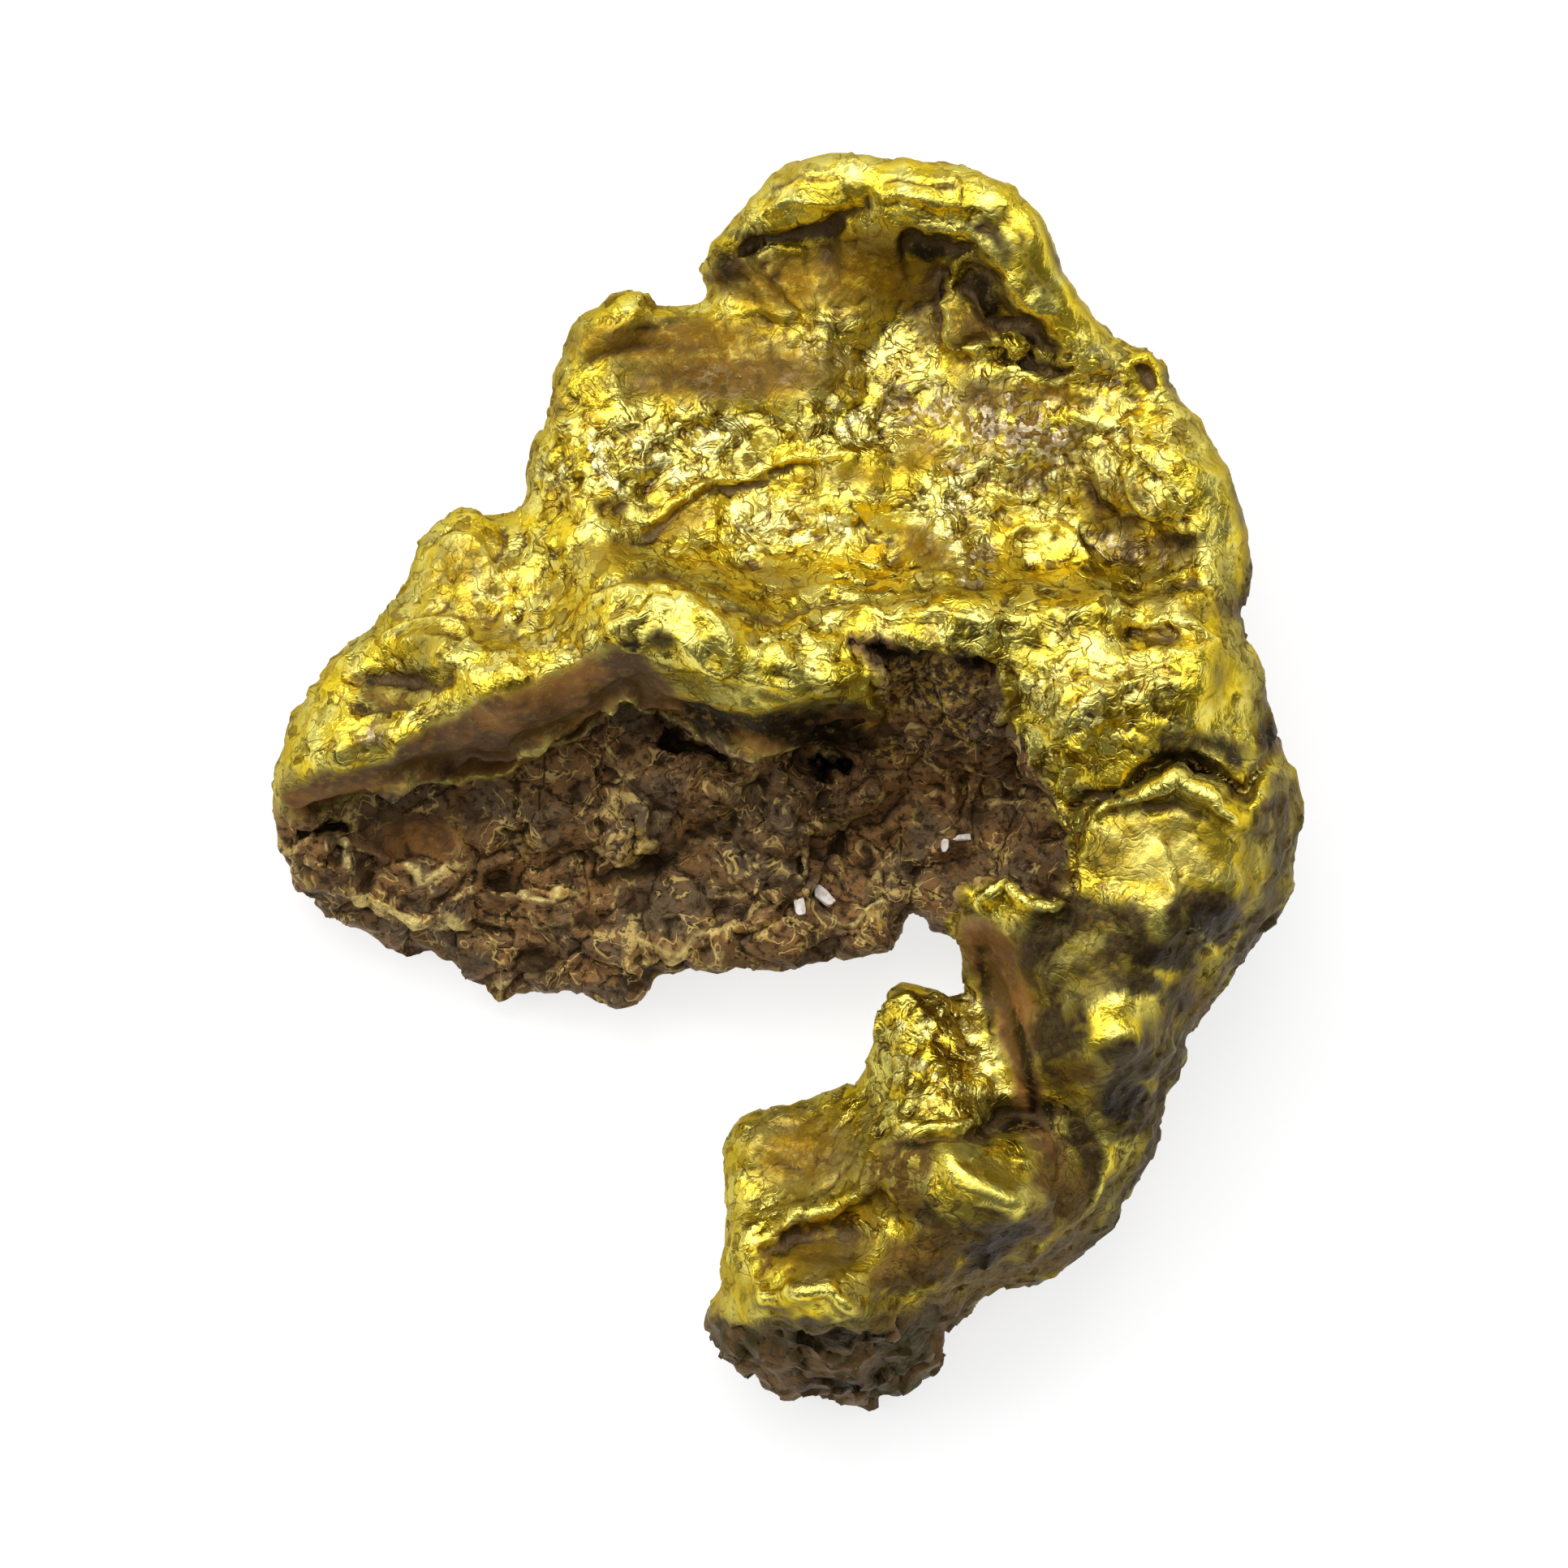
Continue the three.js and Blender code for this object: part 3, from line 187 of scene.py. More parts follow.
# Ledges: the line walked along, how far the ground on the walker's right drops, and the run over which it
# comes back up.
LEDGES = [
    ([(9.0, 3.15), (9.2, 2.95), (9.6, 2.78), (10.1, 2.78), (10.45, 2.85)], 0.45, 0.8),
    ([(10.95, 2.95), (11.2, 2.92), (11.6, 2.97), (11.9, 3.1)], 0.35, 0.5),
    ([(11.6, 3.55), (11.68, 3.9), (11.85, 4.25), (12.15, 4.15), (12.5, 4.38), (12.9, 4.2)], 0.3, 0.5),
    ([(11.95, 3.15), (12.3, 3.45), (12.6, 3.9), (12.9, 4.1), (13.2, 4.3)], 0.45, 0.5),
    ([(12.5, 4.62), (12.85, 4.72), (13.25, 4.7)], 0.12, 0.5),
    ([(15.2, 7.35), (14.2, 7.3), (13.4, 7.3), (12.6, 7.2), (11.8, 7.28), (11.2, 7.35), (10.6, 7.45),
      (10.2, 7.42), (9.8, 7.52), (9.4, 7.5), (9.0, 7.3), (8.6, 7.12), (8.1, 7.02), (7.6, 7.1), (7.35, 7.3),
      (7.3, 7.6)], 0.2, 0.6),
    ([(8.1, 6.5), (8.6, 6.15), (8.9, 5.97), (9.4, 5.85), (9.9, 5.75), (10.4, 5.7), (10.9, 5.65)],
      0.04, 0.4),
    ([(13.2, 6.5), (13.9, 6.45), (14.4, 6.5), (14.6, 6.6), (14.7, 6.9)], 0.12, 0.4),
    ([(4.6, 8.15), (5.0, 8.25), (5.4, 8.25), (5.75, 8.3)], 0.12, 0.5),
    ([(7.3, 11.0), (6.9, 11.05), (6.4, 11.0), (6.0, 11.0), (5.7, 11.05)], 0.3, 0.5),
    ([(8.2, 10.5), (7.7, 10.65), (7.3, 10.5), (7.2, 10.2)], -0.35, 0.5),
    ([(9.95, 10.4), (9.9, 10.7), (9.6, 10.95), (9.3, 11.2), (9.0, 11.5)], 0.3, 0.6),
]

# Ridges, and creases with a negative rise: the line, the rise and half the width.
RIDGES = [
    ([(12.9, 9.85), (13.2, 9.97), (13.55, 9.87), (13.85, 9.65), (14.1, 9.48), (14.5, 9.38), (15.0, 9.55),
      (15.35, 9.8), (15.5, 9.5), (15.75, 9.15)], -0.45, 0.08),
    ([(13.2, 10.1), (13.5, 10.02), (13.9, 9.85), (14.2, 9.65), (14.45, 9.58), (14.8, 9.75), (15.15, 9.98),
      (15.4, 10.25)], 0.25, 0.13),
    ([(15.65, 9.35), (15.6, 9.7), (15.5, 10.0), (15.45, 10.3)], 0.2, 0.16),
    ([(11.95, 11.3), (12.0, 11.05), (12.3, 10.88), (12.5, 10.98), (12.65, 11.15), (13.0, 11.22),
      (13.2, 11.1)], 0.2, 0.15),
    ([(13.9, 10.3), (14.2, 10.6), (14.45, 10.95), (14.55, 11.3), (14.9, 11.65)], 0.08, 0.1),
    ([(11.9, 13.95), (12.3, 13.85), (12.7, 13.7), (13.0, 13.6)], -0.4, 0.13),
    ([(11.5, 14.3), (11.9, 14.4), (12.2, 14.6), (12.5, 14.85), (12.8, 14.98)], 0.2, 0.22),
    ([(10.6, 13.6), (10.66, 14.1), (10.6, 14.6), (10.3, 14.85), (9.9, 14.9), (9.6, 15.1), (9.45, 15.3)],
      0.3, 0.13),
    ([(9.95, 15.15), (9.6, 15.3), (9.4, 15.6), (9.35, 15.9)], -0.14, 0.13),
    ([(9.3, 15.6), (9.45, 15.95), (9.7, 16.0), (9.85, 15.85), (10.2, 15.8), (10.5, 16.0), (10.7, 16.1)],
      0.25, 0.12),
    ([(9.7, 16.55), (10.3, 16.5), (11.0, 16.35)], -0.12, 0.16),
    ([(3.7, 10.35), (3.95, 10.65), (4.3, 10.9), (4.7, 11.2), (5.1, 11.4), (5.6, 11.28), (5.9, 11.45)],
      0.3, 0.13),
    ([(9.8, 10.25), (10.1, 10.15), (10.4, 9.95), (10.7, 9.75), (10.8, 9.55)], 0.3, 0.09),
]

# Knobs, and pits with a negative rise: the middle, the two radii, the turn in degrees and the rise.
KNOBS = [
    (14.1, 7.78, (0.5, 0.16), -8, -0.16), (10.65, 2.5, (0.09, 0.2), -10, -0.1),
    (14.05, 4.7, (0.12, 0.2), 30, -0.12), (5.2, 7.9, (0.5, 0.3), -10, 0.25),
    (10.28, 8.38, (0.3, 0.2), -20, 0.18), (10.15, 9.35, (0.38, 0.18), 0, -1.1),
    (4.0, 10.2, (0.25, 0.12), 10, -0.5), (7.75, 10.2, (0.4, 0.35), 0, 0.3),
    (7.3, 9.65, (0.2, 0.3), 0, 0.25), (8.9, 9.9, (0.4, 0.25), 30, 0.25),
    (6.6, 11.85, (0.35, 0.15), 0, -0.12), (8.5, 9.2, (0.3, 0.12), -20, -0.4),
]

RIM_SHARE = 0.46
RIM_MOST = 1.15
OVERHANG = 0.35
OVERHANG_RISE = 0.9
LIP_THICKNESS = 0.25
LEAST_THICKNESS = 1.0
STEP_WIDTH = 0.07
SLACK = 0.03
SWELL = 0.07
SWELL_LENGTH = 1.5
SWELL_WAVES = 9
RAGGED = [(0.45, 0.08, 41), (0.16, 0.035, 43)]
RAGGED_RIM = 0.5
SWELL_FADE = 0.6


def smoothstep(value, start, end):
    """Rises from 0 to 1 between start and end, level at both."""
    t = np.clip((value - start) / (end - start), 0, 1)
    return t * t * (3 - 2 * t)


def bent_sheet(spots, places):
    """Heights close to the spots, bent like a thin metal plate: a plane and a sum of r^2 ln r over the
    spots. The slack lets the plate pass a little below the sharpest peaks."""
    spots = np.asarray(spots, float)
    centres = on_part(spots)
    count = len(spots)

    def bend(there, centre):
        square = ((there - centre) ** 2).sum(-1)
        return 0.5 * square * np.log(np.maximum(square, 1e-12))

    rows = np.zeros((count + 3, count + 3))
    rows[:count, :count] = bend(centres[:, None], centres[None]) + SLACK * np.eye(count)
    rows[:count, count] = 1
    rows[:count, count + 1 :] = centres
    rows[count:, :count] = rows[:count, count:].T
    weights = np.linalg.solve(rows, np.append(spots[:, 2] * SCALE, [0, 0, 0]))
    height = weights[count] + places @ weights[count + 1 :]
    for centre, weight in zip(centres, weights):
        height += weight * bend(places, centre)
    return height


def smooth_ring(points, steps=3):
    """A closed smooth curve through the points: a cubic between each two, with slopes from their
    neighbours."""
    p = np.asarray(points, float)
    before, after, later = np.roll(p, 1, 0), np.roll(p, -1, 0), np.roll(p, -2, 0)
    t = (np.arange(steps) / steps)[:, None, None]
    curve = p + t * (after - before) / 2
    curve = curve + t**2 * (before - 2.5 * p + 2 * after - later / 2)
    curve = curve + t**3 * (1.5 * (p - after) + (later - before) / 2)
    return curve.transpose(1, 0, 2).reshape(-1, 2)


def inside_of(ring, places):
    """Signed distance to a closed line in plan, positive inside it."""
    least = np.full(places.shape[:-1], np.inf)
    inside = np.zeros(places.shape[:-1], bool)
    x, y = places[..., 0], places[..., 1]
    for (ax, ay), (bx, by) in zip(np.roll(ring, 1, 0), ring):
        along = ((x - ax) * (bx - ax) + (y - ay) * (by - ay)) / ((bx - ax) ** 2 + (by - ay) ** 2)
        t = np.clip(along, 0, 1)
        least = np.minimum(least, np.hypot(x - ax - t * (bx - ax), y - ay - t * (by - ay)))
        if ay != by:
            inside ^= ((ay > y) != (by > y)) & (x < ax + (y - ay) / (by - ay) * (bx - ax))
    return np.where(inside, least, -least)


def along_line(line, places):
    """Distance to an open line, positive on the right of it on the sheet, and the share of its length
    passed."""
    points = on_part(line)
    lengths = np.hypot(*np.diff(points, axis=0).T)
    distance = np.full(places.shape[:-1], np.inf)
    share = np.zeros(places.shape[:-1])
    passed = 0
    for (ax, ay), (bx, by), length in zip(points, points[1:], lengths):
        dx, dy = (bx - ax) / length, (by - ay) / length
        t = np.clip((places[..., 0] - ax) * dx + (places[..., 1] - ay) * dy, 0, length)
        ex, ey = places[..., 0] - ax - t * dx, places[..., 1] - ay - t * dy
        here = np.hypot(ex, ey)
        nearer = here < np.abs(distance)
        distance = np.where(nearer, here * np.where(dy * ex - dx * ey < 0, -1, 1), distance)
        share = np.where(nearer, (passed + t) / lengths.sum(), share)
        passed += length
    return distance, share


def taper(share):
    """1 along most of a line, falling to 0 at both ends."""
    return smoothstep(np.minimum(share, 1 - share), 0, 0.15)


def ledges(lines, places):
    """Heights taken off by sudden steps down to the right of each line, which fade over the run."""
    height = np.zeros(places.shape[:-1])
    for line, drop, run in lines:
        distance, share = along_line(line, places)
        fade = np.exp(-((np.maximum(distance, 0) / run) ** 2))
        height -= drop * smoothstep(distance, -STEP_WIDTH, STEP_WIDTH) * fade * taper(share)
    return height


def ridges(lines, places):
    """Heights of bells across each line; a negative rise is a crease."""
    height = np.zeros(places.shape[:-1])
    for line, rise, wide in lines:
        distance, share = along_line(line, places)
        height += rise * np.exp(-((distance / wide) ** 2)) * taper(share)
    return height


def oval(x, y, radii, turn, places):
    """Distance from an oval's middle, counted in its own radii, for places in plan."""
    offset = places[..., :2] - on_part([x, y])
    angle = np.radians(turn)
    u = (offset @ [np.cos(angle), np.sin(angle)]) / radii[0]
    v = (offset @ [-np.sin(angle), np.cos(angle)]) / radii[1]
    return np.hypot(u, v)


def knobs(ovals, places):
    """Heights of round bowls with soft edges, turned up as knobs or down as pits."""
    height = np.zeros(places.shape[:-1])
    for x, y, radii, turn, rise in ovals:
        height += rise * np.exp(-(oval(x, y, radii, turn, places) ** 3))
    return height


def swell(x, y, z):
    """Low swells through space: sine waves whose directions are spread over the sphere by the golden
    angle."""
    total = 0
    for i in range(SWELL_WAVES):
        height = 1 - 2 * (i + 0.5) / SWELL_WAVES
        turn = i * np.pi * (3 - np.sqrt(5))
        flat = np.sqrt(1 - height * height)
        size = 2 * np.pi / SWELL_LENGTH * (0.7 + 0.08 * i)
        kx, ky, kz = flat * np.cos(turn) * size, flat * np.sin(turn) * size, height * size
        total = total + np.sin(kx * x + ky * y + kz * z + 2.4 * i)
    return SWELL * total / 2


def scatter(cubes, salt):
    """Three numbers from 0 to 1 for each whole-numbered cube, always the same for the same cube and salt."""
    x, y, z = (cubes[..., k].astype(np.int64) for k in range(3))
    mixed = (x * 73856093 ^ y * 19349663 ^ z * 83492791 ^ salt * 2654435761) & 0xFFFFFFFF
    found = []
    for _ in range(3):
        mixed = (mixed ^ mixed >> 15) * 2246822519 & 0xFFFFFFFF
        mixed = (mixed ^ mixed >> 13) * 3266489917 & 0xFFFFFFFF
        found.append(mixed / 2**32)
    return np.stack(found, -1)


def clouds(points, size, salt):
    """Soft noise from -1 to 1: numbers thrown at the corners of a grid of cubes, blended smoothly between
    them."""
    places = points / size
    cube = np.floor(places)
    t = places - cube
    t = t * t * (3 - 2 * t)
    total = 0
    for corner in np.ndindex(2, 2, 2):
        weight = np.prod(np.where(corner, t, 1 - t), axis=1)
        total = total + weight * scatter(cube + np.array(corner), salt)[:, 0]
    return 2 * total - 1


def rounded(a, b, radius):
    """Rounded meeting of two faces: negative where both are, with an edge of the given radius."""
    a, b = a + radius, b + radius
    return np.minimum(np.maximum(a, b), 0) + np.hypot(np.maximum(a, 0), np.maximum(b, 0)) - radius


def uneven(places):
    """Places in plan, pushed a little to and fro, so that the edges drawn through them come out ragged."""
    flat = np.append(places[..., :2], np.zeros(places.shape[:-1] + (1,)), -1).reshape(-1, 3)
    push = sum(
        share * np.stack([clouds(flat, size, salt), clouds(flat, size, salt + 1)], -1)
        for size, share, salt in RAGGED
    )
    return places[..., :2] + push.reshape(places.shape[:-1] + (2,))


def nugget_field(x, y, z):
    """The nugget as a field that is negative inside the gold. The top is the crown, or the floor where the
    hollow is open, and under the hollow's lip the hollow reaches back below the crown. The belly is cut off
    a little under the table top, inside the grid, so that the skin closes under the worn flats."""
    places = np.stack(np.meshgrid(x, y, indexing="ij"), -1)
    ragged = uneven(places)
    rim = inside_of(smooth_ring(on_part(OUTLINE)), places + RAGGED_RIM * (ragged - places))
    hollow = inside_of(on_part(HOLLOW), ragged)
    relief = ledges(LEDGES, ragged) + ridges(RIDGES, ragged) + knobs(KNOBS, ragged)
    crown = bent_sheet(CROWN, places) + relief
    roof = crown - LIP_THICKNESS
    floor = np.minimum(bent_sheet(FLOOR, places) + relief, roof)
    top = floor + (crown - floor) * smoothstep(-hollow, 0, 1)
    belly = np.minimum(bent_sheet(BELLY, places), top - LEAST_THICKNESS)
    radius = np.minimum(RIM_SHARE * (top - belly), RIM_MOST)
    rim, hollow, crown, roof, floor, belly, radius = (
        a[..., None].astype(np.float32) for a in (rim, hollow, crown, roof, floor, belly, radius)
    )
    x, y, z = (a.astype(np.float32) for a in (x[:, None, None], y[None, :, None], z[None, None, :]))
    reach = OVERHANG * smoothstep(roof - z, 0, OVERHANG_RISE)
    above = np.maximum(z - crown, np.minimum(hollow + reach, z - floor))
    body = np.maximum(rounded(-rim, above, radius), rounded(-rim, belly - z, radius))
    return np.maximum(body + smoothstep(rim, 0, SWELL_FADE) * swell(x, y, z), -z - CUT_UNDER_FLOOR)


def skin(field, start, cell):
    """The skin where the field is zero, by surface nets: one point in each cell that the skin passes
    through, at the mean of its crossings of the cell's edges, and one four-sided face for each grid edge
    that it crosses."""
    corners = np.array([(c & 1, c >> 1 & 1, c >> 2) for c in range(8)])
    edges = [(a, a | b) for a in range(8) for b in (1, 2, 4) if not a & b]
    inside = field < 0
    size = np.array(field.shape) - 1
    near = [tuple(slice(o, o + s) for o, s in zip(corner, size)) for corner in corners]
    filled = sum(inside[part].astype(np.int8) for part in near)
    number = np.full(size, -1)
    cells = np.nonzero((filled > 0) & (filled < 8))
    number[cells] = np.arange(len(cells[0]))
    values = [field[part][cells] for part in near]
    total = np.zeros((len(cells[0]), 3))
    crossings = np.zeros(len(cells[0]))
    for a, b in edges:
        crossed = (values[a] < 0) != (values[b] < 0)
        t = np.where(crossed, values[a] / np.where(crossed, values[a] - values[b], 1), 0)
        total += crossed[:, None] * (corners[a] + t[:, None] * (corners[b] - corners[a]))
        crossings += crossed
    points = start + cell * (np.stack(cells, -1) + total / crossings[:, None])

    faces = []
    for axis in range(3):
        step = np.eye(3, dtype=int)[axis]
        first, second = np.eye(3, dtype=int)[(axis + 1) % 3], np.eye(3, dtype=int)[(axis + 2) % 3]
        here = inside[tuple(slice(1, s) for s in size)]
        there = inside[tuple(slice(1 + o, s + o) for o, s in zip(step, size))]
        at = np.stack(np.nonzero(here != there), -1)
        turns = ((0, 0), (1, 0), (1, 1), (0, 1))
        ring = np.stack([number[tuple((at + 1 - a * first - b * second).T)] for a, b in turns], -1)
        outward = here[tuple(at.T)][:, None]
        faces.append(np.where(outward, ring, ring[:, ::-1]))
    return points, np.concatenate(faces)


def grid_line(start, end):
    """Grid values from below start to past end, one cell apart."""
    return np.arange(start - MARGIN, end + MARGIN + CELL, CELL)


lines = [grid_line(a / MM, b / MM) for a, b in zip(low, high)]
field = nugget_field(*lines)
points, faces = skin(field, np.array([line[0] for line in lines]), CELL)


def normals_of(points, faces):
    """Unit normals at points: the sum of the cross products of the diagonals of the faces round each
    point."""
    across = np.cross(points[faces[:, 2]] - points[faces[:, 0]], points[faces[:, 3]] - points[faces[:, 1]])
    total = np.stack([np.bincount(faces.ravel(), np.repeat(c, 4), len(points)) for c in across.T], -1)
    return total / np.linalg.norm(total, axis=1, keepdims=True)


def neighbour_mean(values, faces, rounds=1):
    """Values evened out over the skin: each round takes the mean of the neighbours along face edges."""
    here, there = faces.ravel(), np.roll(faces, 1, axis=1).ravel()
    here, there = np.append(here, there), np.append(there, here)
    count = np.bincount(here, minlength=len(values))
    for _ in range(rounds):
        values = np.stack([np.bincount(here, v[there], len(values)) / count for v in values.T], -1)
    return values


def grains(points, size, salt):
    """Seeds are thrown one into each cube of a grid. Gives the distance to the nearest seed, how much
    farther the second is, and the height of an angular block round the seed with a level and a slope of its
    own, in cubes."""
    places = points / size
    cube = np.floor(places)
    nearest = np.full(len(points), 9.0)
    second = nearest.copy()
    block = np.zeros(len(points))
    for offset in np.ndindex(3, 3, 3):
        there = cube + np.array(offset) - 1
        away = places - there - scatter(there, salt)
        distance = np.linalg.norm(away, axis=1)
        level = 2 * (away * (scatter(there, salt + 1) - 0.5)).sum(1) + scatter(there, salt + 2)[:, 0] - 0.5
        block = np.where(distance < nearest, level, block)
        second = np.minimum(second, np.maximum(nearest, distance))
        nearest = np.minimum(nearest, distance)
    return nearest, second - nearest, block


def washes(ovals, points):
    """Soft-edged oval patches, each with its strength; where they meet, the strongest counts."""
    total = np.zeros(len(points))
    for x, y, radii, turn, strength in ovals:
        total = np.maximum(total, strength * np.exp(-(oval(x, y, radii, turn, points) ** 4)))
    return total


def area(ring, points, soft):
    """1 well inside a closed line in plan, 0 outside, over a soft edge."""
    return smoothstep(inside_of(on_part(ring), points[:, :2]), -soft, soft)


def traces(lines, points):
    """Bells of height across fine lines on the skin, the gleam of each line's worn edge, partly a painted
    highlight, and the dark painted along each crease, partly dirt and partly painted shade."""
    height, gleam, dirt = np.zeros((3, len(points)))
    for line, rise, wide, shine in lines:
        distance, share = along_line(line, points[:, :2])
        bell = np.exp(-((distance / wide) ** 2)) * taper(share)
        height += rise * bell
        gleam = np.maximum(gleam, shine * bell**2)
        dirt = np.maximum(dirt, (rise < 0) * bell)
    return height, gleam, dirt
